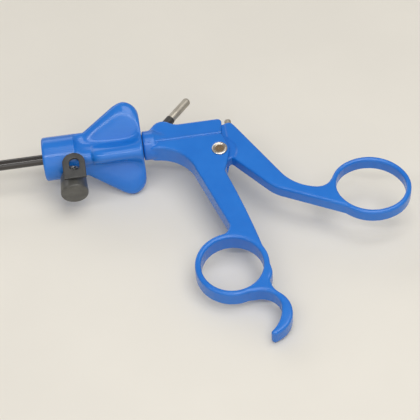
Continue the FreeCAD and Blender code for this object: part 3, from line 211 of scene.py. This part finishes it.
def bump(tree, shader, socket, strength, distance):
    """Raises the surface a little by a noise."""
    node = tree.nodes.new("ShaderNodeBump")
    node.inputs["Strength"].default_value = strength
    node.inputs["Distance"].default_value = distance
    tree.links.new(socket, node.inputs["Height"])
    tree.links.new(node.outputs["Normal"], shader.inputs["Normal"])


def tint(tree, shader, noise, first, second):
    """Colours the surface between two tones."""
    tones = two_tone(tree, noise.outputs["Fac"], first, second)
    tree.links.new(tones, shader.inputs["Base Color"])


def roughen(tree, shader, noise, low, high):
    """Varies the shine between two roughnesses."""
    shine = spread(tree, noise.outputs["Fac"], low, high)
    tree.links.new(shine, shader.inputs["Roughness"])


def moulded_plastic(name, colour, worn, rough_low, rough_high, grain):
    """Moulded plastic: faint cloudy colour, a fine spark-eroded grain and uneven shine."""
    material, tree, shader = new_material(name)
    cloud = object_noise(tree, 55.0)
    tint(tree, shader, cloud, colour, worn)
    shine = object_noise(tree, 420.0)
    roughen(tree, shader, shine, rough_low, rough_high)
    fine = object_noise(tree, 1300.0, 1.0)
    bump(tree, shader, fine.outputs["Fac"], grain, 0.000006)
    shader.inputs["IOR"].default_value = 1.49
    shader.inputs["Specular IOR Level"].default_value = 0.6
    return material


def soft_rubber(name, colour, lighter):
    """Rubber: dull, dusty in patches, with a fine moulded tooth."""
    material, tree, shader = new_material(name)
    dust = object_noise(tree, 260.0, 5.0)
    tint(tree, shader, dust, colour, lighter)
    roughen(tree, shader, dust, 0.30, 0.46)
    fine = object_noise(tree, 1500.0, 2.0)
    bump(tree, shader, fine.outputs["Fac"], 0.3, 0.00001)
    return material


def turned_metal(name, colour, stained, rough_low, rough_high, stretch):
    """Machined metal with fine lines along or round the piece."""
    material, tree, shader = new_material(name)
    shader.inputs["Metallic"].default_value = 1.0
    film = object_noise(tree, 180.0)
    tint(tree, shader, film, colour, stained)
    lines = object_noise(tree, 900.0, 4.0, stretch)
    roughen(tree, shader, lines, rough_low, rough_high)
    bump(tree, shader, lines.outputs["Fac"], 0.2, 0.000006)
    return material


def steel_with_painted_reflection(name, colour, painted_reflection, centre, reach):
    """Polished steel with a painted brown reflection in the middle, within a distance of the
    pivot's axis.
    """
    material, tree, shader = new_material(name)
    shader.inputs["Metallic"].default_value = 1.0
    place = tree.nodes.new("ShaderNodeTexCoord")
    flat = tree.nodes.new("ShaderNodeVectorMath")
    flat.operation = "MULTIPLY"
    flat.inputs[1].default_value = (1.0, 1.0, 0.0)
    away = tree.nodes.new("ShaderNodeVectorMath")
    away.operation = "DISTANCE"
    away.inputs[1].default_value = centre
    tree.links.new(place.outputs["Object"], flat.inputs[0])
    tree.links.new(flat.outputs["Vector"], away.inputs[0])
    edge = spread(tree, away.outputs["Value"], 0.0, 1.0, 0.55 * reach, reach)
    film = object_noise(tree, 900.0, 3.0)
    # Painted reflection: brown towards the pivot's axis, as the dished head would mirror its
    # surroundings, and plain steel colour towards the rim.
    mix = tree.nodes.new("ShaderNodeMix")
    mix.data_type = "RGBA"
    mix.inputs["A"].default_value = (*painted_reflection, 1.0)
    mix.inputs["B"].default_value = (*colour, 1.0)
    tree.links.new(edge, mix.inputs["Factor"])
    tree.links.new(mix.outputs["Result"], shader.inputs["Base Color"])
    roughen(tree, shader, film, 0.20, 0.32)
    bump(tree, shader, film.outputs["Fac"], 0.1, 0.000004)
    return material


def shrink_sleeve(name, colour):
    """Glossy insulation: dark, with long soft drawing lines."""
    material, tree, shader = new_material(name)
    long_noise = object_noise(tree, 500.0, 3.0, (0.04, 1.0, 1.0))
    lighter = tuple(min(1.0, 1.7 * part) for part in colour)
    tint(tree, shader, long_noise, colour, lighter)
    roughen(tree, shader, long_noise, 0.10, 0.18)
    shader.inputs["Specular IOR Level"].default_value = 0.75
    bump(tree, shader, long_noise.outputs["Fac"], 0.12, 0.00001)
    return material


MATERIALS = {}
PIVOT = (0.0841, -0.012, 0.0)
# Reach of the painted brown reflection round the pivot's axis.
PAINTED_REFLECTION_REACH = 0.0032


def make_materials(colours):
    """One material for each finish of the forceps, from the colours that a user sets."""
    blue = tuple(colours.blue)
    worn = tuple(colours.blue_worn)
    steel = tuple(colours.steel)
    dull = tuple(0.8 * part for part in steel)
    rubber = tuple(colours.rubber)
    strap = tuple(colours.strap)
    grey = tuple(min(1.0, 1.5 * part) for part in rubber)
    MATERIALS["blue"] = moulded_plastic("moulded blue", blue, worn, 0.20, 0.27, 0.15)
    MATERIALS["insulator"] = moulded_plastic(
        "black insulator", (0.022, 0.021, 0.020), (0.034, 0.032, 0.030), 0.35, 0.5, 0.4)
    MATERIALS["rubber"] = soft_rubber("cap rubber", rubber, grey)
    MATERIALS["strap"] = soft_rubber("strap rubber", strap, tuple(1.5 * part for part in strap))
    MATERIALS["seal"] = soft_rubber("seal rubber", (0.012, 0.012, 0.012), (0.025, 0.025, 0.024))
    MATERIALS["steel"] = turned_metal("turned steel", steel, dull, 0.22, 0.36, (1.0, 0.12, 1.0))
    MATERIALS["drawn"] = turned_metal("drawn steel", steel, dull, 0.20, 0.32, (0.06, 1.0, 1.0))
    MATERIALS["pin"] = turned_metal(
        "plug pin steel", (0.50, 0.465, 0.40), (0.42, 0.385, 0.33), 0.42, 0.56, (0.35, 0.35, 1.0))
    MATERIALS["jaw"] = turned_metal(
        "satin jaw steel", (0.56, 0.55, 0.53), (0.44, 0.43, 0.41), 0.30, 0.44, (0.2, 1.0, 1.0))
    # The pivot head gets a painted brown reflection in its dished middle.
    MATERIALS["rivet"] = steel_with_painted_reflection(
        "pivot steel", (0.66, 0.63, 0.58), (0.42, 0.30, 0.19), PIVOT, PAINTED_REFLECTION_REACH)
    MATERIALS["leaf"] = turned_metal(
        "spring bronze", (0.60, 0.40, 0.16), (0.48, 0.31, 0.12), 0.25, 0.38, (0.1, 1.0, 1.0))
    MATERIALS["sleeve"] = shrink_sleeve("shaft insulation", tuple(colours.sleeve))


# Small helpers for pieces

def link(name, mesh, material):
    """Puts a mesh into the scene with its one material."""
    piece = bpy.data.objects.new(name, mesh)
    bpy.context.scene.collection.objects.link(piece)
    mesh.materials.clear()
    mesh.materials.append(material)
    return piece


def plain_mesh(piece):
    """Turns a piece with modifiers into a plain mesh."""
    bpy.context.view_layer.update()
    graph = bpy.context.evaluated_depsgraph_get()
    finished = bpy.data.meshes.new_from_object(
        piece.evaluated_get(graph), preserve_all_data_layers=True, depsgraph=graph)
    piece.modifiers.clear()
    piece.data = finished


def dressed(node, name, material, sharp=32.0, soften=0.0, rounds=0):
    """A smooth-shaded skin of a CAD node, merged to one closed surface.

    With soften, a voxel size in metres, the edges are rounded as a mould rounds them.
    """
    source = NODES[node].data
    build = bmesh.new()
    build.from_mesh(source)
    bmesh.ops.remove_doubles(build, verts=build.verts, dist=2e-7)
    mesh = bpy.data.meshes.new(name)
    build.to_mesh(mesh)
    build.free()
    mesh.polygons.foreach_set("use_smooth", [True] * len(mesh.polygons))
    mesh.set_sharp_from_angle(angle=math.radians(sharp))
    piece = link(name, mesh, material)
    if soften:
        grid = piece.modifiers.new("even grid", "REMESH")
        grid.mode = "VOXEL"
        grid.voxel_size = soften
        grid.use_smooth_shade = True
        relax = piece.modifiers.new("moulded edges", "SMOOTH")
        relax.factor = 0.5
        relax.iterations = rounds
    else:
        modifier = piece.modifiers.new("even shading", "WEIGHTED_NORMAL")
        modifier.keep_sharp = True
        modifier.weight = 60
    plain_mesh(piece)
    piece.data.materials.clear()
    piece.data.materials.append(material)
    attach(piece, NODES[node]["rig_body"])
    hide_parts(node)


def finish_node(node, material):
    """Gives a CAD node that keeps its own mesh a better material."""
    piece = NODES[node]
    piece.data.materials.clear()
    piece.data.materials.append(material)


# Geometry Nodes: the winged knob follows a rule from its nose to its wings

class Rule:
    """Writes a formula as math nodes."""

    def __init__(self, tree):
        self.tree = tree

    def do(self, operation, *values):
        node = self.tree.nodes.new("ShaderNodeMath")
        node.operation = operation
        for i, value in enumerate(values):
            if isinstance(value, (int, float)):
                node.inputs[i].default_value = value
            else:
                self.tree.links.new(value, node.inputs[i])
        return node.outputs[0]

    def add(self, a, b):
        return self.do("ADD", a, b)

    def less(self, a, b):
        return self.do("SUBTRACT", a, b)

    def times(self, a, b):
        return self.do("MULTIPLY", a, b)

    def over(self, a, b):
        return self.do("DIVIDE", a, b)

    def clamp(self, a):
        return self.do("MINIMUM", self.do("MAXIMUM", a, 0.0), 1.0)

    def edge_drop(self, gap, radius):
        """How far a rounded edge falls away at a distance from its face."""
        inside = self.do("MINIMUM", gap, radius)
        back = self.less(radius, inside)
        root = self.do("SQRT", self.do("MAXIMUM", self.less(
            self.times(radius, radius), self.times(back, back)), 0.0))
        return self.less(radius, root)


def knob_tree():
    """Moves a grid of rings onto the rule of the knob, from its sizes."""
    tree = bpy.data.node_groups.new("winged knob", "GeometryNodeTree")
    tree.interface.new_socket("Geometry", in_out="OUTPUT", socket_type="NodeSocketGeometry")
    tree.interface.new_socket("Geometry", in_out="INPUT", socket_type="NodeSocketGeometry")
    names = ["Nose Radius", "Nose Edge", "Knob Length", "Wing Radius", "Lobe Radius",
             "Scoop Depth", "Wing Corner", "Wing Turn"]
    for name in names:
        tree.interface.new_socket(name, in_out="INPUT", socket_type="NodeSocketFloat")
    tree.interface.new_socket("Material", in_out="INPUT", socket_type="NodeSocketMaterial")
    source = tree.nodes.new("NodeGroupInput").outputs
    rule = Rule(tree)
    nose, edge, length = source["Nose Radius"], source["Nose Edge"], source["Knob Length"]
    wing_top, lobe_top = source["Wing Radius"], source["Lobe Radius"]

    def field(name):
        node = tree.nodes.new("GeometryNodeInputNamedAttribute")
        node.data_type = "FLOAT"
        node.inputs["Name"].default_value = name
        return node.outputs["Attribute"]

    along, turn, inward = field("along"), field("turn"), field("inward")
    scoop_start, wing_start, lobe_start, lobe_front = 0.0155, 0.0203, 0.0235, 0.006
    slope = math.tan(math.radians(34.0))
    turn_in, lobe_step, rear_edge = 0.0035, 0.0001, 0.0012
    wing_power, lobe_power, scoop_power = 12.0, 9.0, 0.85
    behind = rule.less(length, along)
    share = rule.clamp(rule.over(rule.less(along, scoop_start), rule.less(length, scoop_start)))
    bent = rule.times(rule.do("POWER", share, scoop_power), math.pi)
    wave = rule.less(1.0, rule.do("SINE", bent))
    hollow = rule.less(1.0, rule.times(wave, rule.times(wave, wave)))
    scoop = rule.less(nose, rule.times(source["Scoop Depth"], hollow))
    full = rule.add(wing_start, rule.over(rule.less(wing_top, nose), slope))
    knee = rule.less(full, turn_in)
    straight = rule.add(nose, rule.times(slope, rule.less(along, wing_start)))
    near = rule.clamp(rule.over(rule.less(along, knee), 2.0 * turn_in))
    base = rule.add(nose, rule.times(slope, rule.less(knee, wing_start)))
    ease = rule.less(rule.times(near, 2.0), rule.times(near, near))
    rounded = rule.add(base, rule.times(rule.less(wing_top, base), ease))
    before = rule.do("LESS_THAN", along, knee)
    wing = rule.add(rule.times(straight, before), rule.times(rounded, rule.less(1.0, before)))
    wing = rule.do("MAXIMUM", wing, nose)
    wing = rule.less(wing, rule.edge_drop(behind, source["Wing Corner"]))
    grow = rule.clamp(rule.over(rule.less(along, lobe_start), lobe_front))
    left = rule.less(1.0, grow)
    bullet = rule.do("SQRT", rule.do("MAXIMUM", rule.less(1.0, rule.times(left, left)), 0.0))
    lobe = rule.add(rule.less(nose, lobe_step), rule.times(rule.less(lobe_top, nose), bullet))
    drop = rule.edge_drop(behind, rear_edge)
    scoop, lobe = rule.less(scoop, drop), rule.less(lobe, drop)
    at_wing = rule.do("POWER", rule.do("ABSOLUTE", rule.do("COSINE", turn)), wing_power)
    at_lobe = rule.do("POWER", rule.do("ABSOLUTE", rule.do("SINE", turn)), lobe_power)
    radius = rule.add(scoop, rule.times(rule.less(wing, scoop), at_wing))
    radius = rule.add(radius, rule.times(rule.less(lobe, scoop), at_lobe))
    radius = rule.less(radius, rule.edge_drop(along, edge))
    radius = rule.times(radius, rule.less(1.0, inward))
    way = rule.add(turn, source["Wing Turn"])
    spot = tree.nodes.new("ShaderNodeCombineXYZ")
    tree.links.new(along, spot.inputs["X"])
    tree.links.new(rule.times(radius, rule.do("COSINE", way)), spot.inputs["Y"])
    tree.links.new(rule.times(radius, rule.do("SINE", way)), spot.inputs["Z"])
    move = tree.nodes.new("GeometryNodeSetPosition")
    tree.links.new(source["Geometry"], move.inputs["Geometry"])
    tree.links.new(spot.outputs["Vector"], move.inputs["Position"])
    merge = tree.nodes.new("GeometryNodeMergeByDistance")
    merge.inputs["Distance"].default_value = 1e-7
    tree.links.new(move.outputs["Geometry"], merge.inputs["Geometry"])
    real = tree.nodes.new("GeometryNodeRealizeInstances")
    tree.links.new(merge.outputs["Geometry"], real.inputs["Geometry"])
    paint = tree.nodes.new("GeometryNodeSetMaterial")
    tree.links.new(real.outputs["Geometry"], paint.inputs["Geometry"])
    tree.links.new(source["Material"], paint.inputs["Material"])
    output = tree.nodes.new("NodeGroupOutput")
    tree.links.new(paint.outputs["Geometry"], output.inputs["Geometry"])
    return tree


def set_inputs(modifier, values):
    """Sets a Geometry Nodes modifier's inputs by the identifiers of their sockets."""
    for item in modifier.node_group.interface.items_tree:
        if item.item_type == "SOCKET" and item.in_out == "INPUT" and item.name in values:
            modifier[item.identifier] = values[item.name]


def knob_blank(sizes):
    """Grid of rings from the bore of the nose to the bore of the rear face."""
    length, edge = sizes.knob_length, sizes.nose_edge
    corner = sizes.wing_corner
    front_share, rear_share = 0.78, 0.62
    front, edges, sides, corners, rear, around = 4, 7, 90, 24, 6, 240
    rows = []
    for i in range(front + 1):
        rows.append((0.0, front_share - front_share * i / front))
    for i in range(1, edges + 1):
        rows.append((edge * (1.0 - math.cos(math.pi / 2 * i / edges)), 0.0))
    for i in range(1, sides):
        rows.append((edge + (length - corner - edge) * i / sides, 0.0))
    for i in range(corners, -1, -1):
        rows.append((length - corner * (1.0 - math.cos(math.pi / 2 * i / corners)), 0.0))
    for i in range(1, rear + 1):
        rows.append((length, rear_share * i / rear))
    mesh = bpy.data.meshes.new("winged_knob")
    spots = [(row[0], j * 0.0001, 0.0) for row in rows for j in range(around)]
    faces = []
    for i in range(len(rows) - 1):
        here, there = i * around, (i + 1) * around
        for j in range(around):
            k = (j + 1) % around
            faces.append((here + j, here + k, there + k, there + j))
    mesh.from_pydata(spots, [], faces)
    for name, values in (
            ("along", [row[0] for row in rows for j in range(around)]),
            ("turn", [2 * math.pi * j / around for row in rows for j in range(around)]),
            ("inward", [row[1] for row in rows for j in range(around)])):
        layer = mesh.attributes.new(name, "FLOAT", "POINT")
        layer.data.foreach_set("value", values)
    mesh.polygons.foreach_set("use_smooth", [True] * len(mesh.polygons))
    return mesh


# Geometry Nodes: a rounded bead follows the foot of the rod housing

BEAD_PATH = ((0.0505, -0.0030, 0.00605), (0.0535, -0.0027, 0.00575), (0.0570, -0.0023, 0.00515),
             (0.0610, -0.0021, 0.00500), (0.0740, -0.0021, 0.00500), (0.0862, -0.0021, 0.00500))
BEAD_SIDES = 20


def bead_tree():
    """Sweeps a small circle along a path."""
    tree = bpy.data.node_groups.new("housing bead", "GeometryNodeTree")
    tree.interface.new_socket("Geometry", in_out="OUTPUT", socket_type="NodeSocketGeometry")
    tree.interface.new_socket("Geometry", in_out="INPUT", socket_type="NodeSocketGeometry")
    tree.interface.new_socket("Bead Radius", in_out="INPUT", socket_type="NodeSocketFloat")
    tree.interface.new_socket("Material", in_out="INPUT", socket_type="NodeSocketMaterial")
    source = tree.nodes.new("NodeGroupInput").outputs
    path = tree.nodes.new("GeometryNodeMeshToCurve")
    tree.links.new(source["Geometry"], path.inputs["Mesh"])
    ring = tree.nodes.new("GeometryNodeCurvePrimitiveCircle")
    ring.inputs["Resolution"].default_value = BEAD_SIDES
    tree.links.new(source["Bead Radius"], ring.inputs["Radius"])
    sweep = tree.nodes.new("GeometryNodeCurveToMesh")
    sweep.inputs["Fill Caps"].default_value = True
    tree.links.new(path.outputs["Curve"], sweep.inputs["Curve"])
    tree.links.new(ring.outputs["Curve"], sweep.inputs["Profile Curve"])
    smooth = tree.nodes.new("GeometryNodeSetShadeSmooth")
    tree.links.new(sweep.outputs["Mesh"], smooth.inputs["Geometry"])
    real = tree.nodes.new("GeometryNodeRealizeInstances")
    tree.links.new(smooth.outputs["Geometry"], real.inputs["Geometry"])
    paint = tree.nodes.new("GeometryNodeSetMaterial")
    tree.links.new(real.outputs["Geometry"], paint.inputs["Geometry"])
    tree.links.new(source["Material"], paint.inputs["Material"])
    output = tree.nodes.new("NodeGroupOutput")
    tree.links.new(paint.outputs["Geometry"], output.inputs["Geometry"])
    return tree


def housing_bead(radius):
    """The bead as a plain mesh that rides on the handle."""
    mesh = bpy.data.meshes.new("housing_bead")
    mesh.from_pydata(list(BEAD_PATH), [(i, i + 1) for i in range(len(BEAD_PATH) - 1)], [])
    piece = link("housing_bead", mesh, MATERIALS["blue"])
    modifier = piece.modifiers.new("shape", "NODES")
    modifier.node_group = bead_tree()
    set_inputs(modifier, {"Bead Radius": radius, "Material": MATERIALS["blue"]})
    plain_mesh(piece)
    build = bmesh.new()
    build.from_mesh(piece.data)
    bmesh.ops.remove_doubles(build, verts=build.verts, dist=1e-7)
    bmesh.ops.recalc_face_normals(build, faces=build.faces)
    build.to_mesh(piece.data)
    build.free()
    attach(piece, "handle")


# Operators: one for each piece or group of like pieces, and one for the stage

class FORCEPS_OT_materials(bpy.types.Operator):
    """Makes the plastics, rubbers and metals of the forceps"""
    bl_idname = "forceps.materials"
    bl_label = "Materials"

    def execute(self, context):
        make_materials(context.scene.forceps_colours)
        return {"FINISHED"}


class FORCEPS_OT_handle(bpy.types.Operator):
    """Dresses the grip with its finger ring and the thumb lever"""
    bl_idname = "forceps.handle"
    bl_label = "Grip and thumb lever"

    def execute(self, context):
        dressed("handle_body", "grip_moulding", MATERIALS["blue"], soften=0.0004, rounds=10)
        dressed("thumb_lever", "lever_moulding", MATERIALS["blue"], soften=0.0004, rounds=10)
        housing_bead(context.scene.forceps_sizes.bead_radius)
        return {"FINISHED"}


class FORCEPS_OT_knob(bpy.types.Operator):
    """Shapes the nose and the winged knob as one smooth moulding"""
    bl_idname = "forceps.knob"
    bl_label = "Winged knob"

    def execute(self, context):
        sizes = context.scene.forceps_sizes
        piece = link("winged_knob", knob_blank(sizes), MATERIALS["blue"])
        modifier = piece.modifiers.new("shape", "NODES")
        modifier.node_group = knob_tree()
        set_inputs(modifier, {
            "Nose Radius": sizes.nose_radius, "Nose Edge": sizes.nose_edge,
            "Knob Length": sizes.knob_length, "Wing Radius": sizes.wing_radius,
            "Lobe Radius": sizes.lobe_radius, "Scoop Depth": sizes.scoop_depth,
            "Wing Corner": sizes.wing_corner, "Wing Turn": sizes.wing_turn,
            "Material": MATERIALS["blue"]})
        plain_mesh(piece)
        piece.data.set_sharp_from_angle(angle=math.radians(50.0))
        build = bmesh.new()
        build.from_mesh(piece.data)
        bmesh.ops.recalc_face_normals(build, faces=build.faces)
        build.to_mesh(piece.data)
        build.free()
        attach(piece, "rotator")
        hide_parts("rotation_knob")
        return {"FINISHED"}


class FORCEPS_OT_shaft(bpy.types.Operator):
    """Dresses the insulated shaft, its tube, the rod and the hub inside the knob"""
    bl_idname = "forceps.shaft"
    bl_label = "Shaft"

    def execute(self, context):
        dressed("shaft_insulation", "shaft_sleeve", MATERIALS["sleeve"])
        for node in ("shaft_tube", "drive_rod", "rod_ball", "rod_tongue", "drive_pin"):
            finish_node(node, MATERIALS["drawn"])
        for node in ("flush_housing", "hub_spindle", "spindle_clip"):
            finish_node(node, MATERIALS["steel"])
        finish_node("tube_seal", MATERIALS["seal"])
        finish_node("neck_bushing", MATERIALS["insulator"])
        return {"FINISHED"}


class FORCEPS_OT_jaws(bpy.types.Operator):
    """Dresses the clevis, the jaw pin and the curved jaws"""
    bl_idname = "forceps.jaws"
    bl_label = "Jaws"

    def execute(self, context):
        dressed("jaw_clevis", "clevis", MATERIALS["drawn"])
        dressed("jaw_pin", "jaw_hinge_pin", MATERIALS["steel"])
        dressed("upper_jaw", "jaw_above", MATERIALS["jaw"])
        dressed("lower_jaw", "jaw_below", MATERIALS["jaw"])
        return {"FINISHED"}


class FORCEPS_OT_flush(bpy.types.Operator):
    """Dresses the flush port, its cap and the strap"""
    bl_idname = "forceps.flush"
    bl_label = "Flush port and cap"

    def execute(self, context):
        dressed("flush_cap", "flush_stopper", MATERIALS["rubber"], soften=0.00022, rounds=8)
        dressed("cap_tether", "stopper_strap", MATERIALS["strap"], soften=0.00022, rounds=12)
        dressed("flush_port", "flush_tube", MATERIALS["steel"])
        return {"FINISHED"}


class FORCEPS_OT_fittings(bpy.types.Operator):
    """Dresses the pivot, the electrode pin with its collar, and the small screw"""
    bl_idname = "forceps.fittings"
    bl_label = "Pivot and electrode pin"

    def execute(self, context):
        dressed("pivot_rivet", "pivot_head", MATERIALS["rivet"])
        dressed("hf_post", "electrode_pin", MATERIALS["pin"])
        dressed("hf_insulator", "electrode_collar", MATERIALS["insulator"])
        dressed("ball_retaining_screw", "seat_screw", MATERIALS["pin"])
        finish_node("hf_contact_spring", MATERIALS["leaf"])
        return {"FINISHED"}


class FORCEPS_OT_stage(bpy.types.Operator):
    """Lays the table, the soft lights and the camera"""
    bl_idname = "forceps.stage"
    bl_label = "Table, lights and camera"

    def execute(self, context):
        stage = context.scene.forceps_stage
        lay_table(tuple(context.scene.forceps_colours.cloth))
        set_lights(stage)
        set_camera(stage)
        context.scene.view_settings.view_transform = "Standard"
        return {"FINISHED"}


# The table touches the lower wing, the finger hook and the jaws
REST_POINTS = (Vector((0.038, -0.0146, -0.0177)), Vector((0.095, -0.1175, -0.0041)),
               Vector((-0.341, 0.0, -0.0024)))
TABLE_HALF = 6.0
TABLE_GAP = 0.0001

# Lamps: name, place from the target, size, stage property of the power, colour
LAMP_TARGET = Vector((0.08, -0.03, 0.0))
LAMPS = (
    ("overhead", (0.26, 0.02, 1.0), (0.75, 0.75), "key_power", (1.0, 0.985, 0.95)),
    ("strip", (-0.1, -0.42, 0.90), (1.3, 0.11), "strip_power", (1.0, 0.985, 0.97)),
    ("front", (-0.05, -0.95, 0.60), (0.9, 0.9), "front_power", (1.0, 0.985, 0.96)),
    ("back", (-0.35, 1.0, 0.40), (1.2, 0.4), "back_power", (1.0, 0.985, 0.97)))
ROOM_COLOUR = (1.0, 0.985, 0.96, 1.0)
ROOM_STRENGTH = 0.38


def table_frame():
    """A point of the table with its two directions and its upward normal."""
    first, second, third = REST_POINTS
    up = (second - first).cross(third - first).normalized()
    if up.z < 0:
        up = -up
    side = Vector((1.0, 0.0, 0.0))
    side = (side - up * side.dot(up)).normalized()
    lowest = 0.0
    for piece in NODES.values():
        place = piece.matrix_world
        heights = [(place @ point.co - first).dot(up) for point in piece.data.vertices]
        lowest = min([lowest] + heights)
    return first + up * lowest, side, up.cross(side), up


def lay_table(colour):
    """A plain pale table under the forceps."""
    spot, side, ahead, up = table_frame()
    material, tree, shader = new_material("pale table")
    weave = object_noise(tree, 9.0, 4.0)
    lighter = tuple(min(1.0, 1.04 * part) for part in colour)
    tint(tree, shader, weave, colour, lighter)
    shader.inputs["Roughness"].default_value = 0.9
    shader.inputs["Specular IOR Level"].default_value = 0.15
    mesh = bpy.data.meshes.new("table")
    middle = spot - up * TABLE_GAP
    corners = [middle + side * (a * TABLE_HALF) + ahead * (b * TABLE_HALF)
               for a, b in ((-1, -1), (1, -1), (1, 1), (-1, 1))]
    mesh.from_pydata([tuple(c) for c in corners], [], [(0, 1, 2, 3)])
    piece = link("table", mesh, material)


def area_light(name, place, size, power, colour):
    """A rectangular soft light turned to the middle of the forceps."""
    data = bpy.data.lights.new(name, "AREA")
    data.shape = "RECTANGLE"
    data.size, data.size_y = size
    data.energy = power
    data.color = colour
    lamp = bpy.data.objects.new(name, data)
    bpy.context.scene.collection.objects.link(lamp)
    lamp.location = place
    lamp.rotation_euler = (LAMP_TARGET - place).to_track_quat("-Z", "Y").to_euler()


def set_lights(stage):
    """The four soft lights and the even light of the room."""
    for name, offset, size, power, colour in LAMPS:
        area_light(name, LAMP_TARGET + Vector(offset), size, getattr(stage, power), colour)
    world = bpy.data.worlds.new("studio")
    bpy.context.scene.world = world
    world.use_nodes = True
    back = world.node_tree.nodes["Background"]
    back.inputs["Color"].default_value = ROOM_COLOUR
    back.inputs["Strength"].default_value = ROOM_STRENGTH


def set_camera(stage):
    """The camera at the photograph's angle, with the shaft's root at its pixel."""
    high, turn, roll = stage.tilt, stage.heading, stage.roll
    right = Vector((math.cos(turn), -math.sin(turn), 0.0))
    up = Vector((math.sin(turn) * math.sin(high), math.cos(turn) * math.sin(high), math.cos(high)))
    back = Vector((-math.sin(turn) * math.cos(high), -math.cos(turn) * math.cos(high),
                   math.sin(high)))
    side = right * math.cos(roll) + up * math.sin(roll)
    top = up * math.cos(roll) - right * math.sin(roll)
    scale = stage.distance * SENSOR_WIDTH / (stage.lens * FRAME_SIDE)
    across = (ROOT_PIXEL[0] - FRAME_MIDDLE) * scale
    above = (FRAME_MIDDLE - ROOT_PIXEL[1]) * scale
    data = bpy.data.cameras.new("camera")
    data.lens = stage.lens
    data.sensor_width = SENSOR_WIDTH
    data.clip_start, data.clip_end = 0.01, 50.0
    camera = bpy.data.objects.new("camera", data)
    bpy.context.scene.collection.objects.link(camera)
    camera.matrix_world = Matrix((
        (side.x, top.x, back.x, 0.0), (side.y, top.y, back.y, 0.0),
        (side.z, top.z, back.z, 0.0), (0.0, 0.0, 0.0, 1.0)))
    camera.location = back * stage.distance - side * across - top * above
    bpy.context.scene.camera = camera


class FORCEPS_PT_panel(bpy.types.Panel):
    """Lists the steps that build the forceps"""
    bl_idname = "FORCEPS_PT_panel"
    bl_label = "Forceps"
    bl_space_type = "VIEW_3D"
    bl_region_type = "UI"
    bl_category = "Forceps"

    def draw(self, context):
        for group in (context.scene.forceps_colours, context.scene.forceps_sizes,
                      context.scene.forceps_stage):
            for name in group.__annotations__:
                self.layout.prop(group, name)
        for operator in OPERATORS:
            self.layout.operator(operator.bl_idname)


OPERATORS = (FORCEPS_OT_materials, FORCEPS_OT_handle, FORCEPS_OT_knob, FORCEPS_OT_shaft,
             FORCEPS_OT_jaws, FORCEPS_OT_flush, FORCEPS_OT_fittings, FORCEPS_OT_stage)
CLASSES = (ForcepsColours, ForcepsSizes, ForcepsStage) + OPERATORS + (FORCEPS_PT_panel,)


def register():
    for item in CLASSES:
        bpy.utils.register_class(item)
    bpy.types.Scene.forceps_colours = PointerProperty(type=ForcepsColours)
    bpy.types.Scene.forceps_sizes = PointerProperty(type=ForcepsSizes)
    bpy.types.Scene.forceps_stage = PointerProperty(type=ForcepsStage)


def unregister():
    del bpy.types.Scene.forceps_stage
    del bpy.types.Scene.forceps_sizes
    del bpy.types.Scene.forceps_colours
    for item in reversed(CLASSES):
        bpy.utils.unregister_class(item)


def main():
    register()
    bpy.ops.forceps.materials()
    bpy.ops.forceps.handle()
    bpy.ops.forceps.knob()
    bpy.ops.forceps.shaft()
    bpy.ops.forceps.jaws()
    bpy.ops.forceps.flush()
    bpy.ops.forceps.fittings()
    bpy.ops.forceps.stage()


if __name__ == "__main__":
    main()
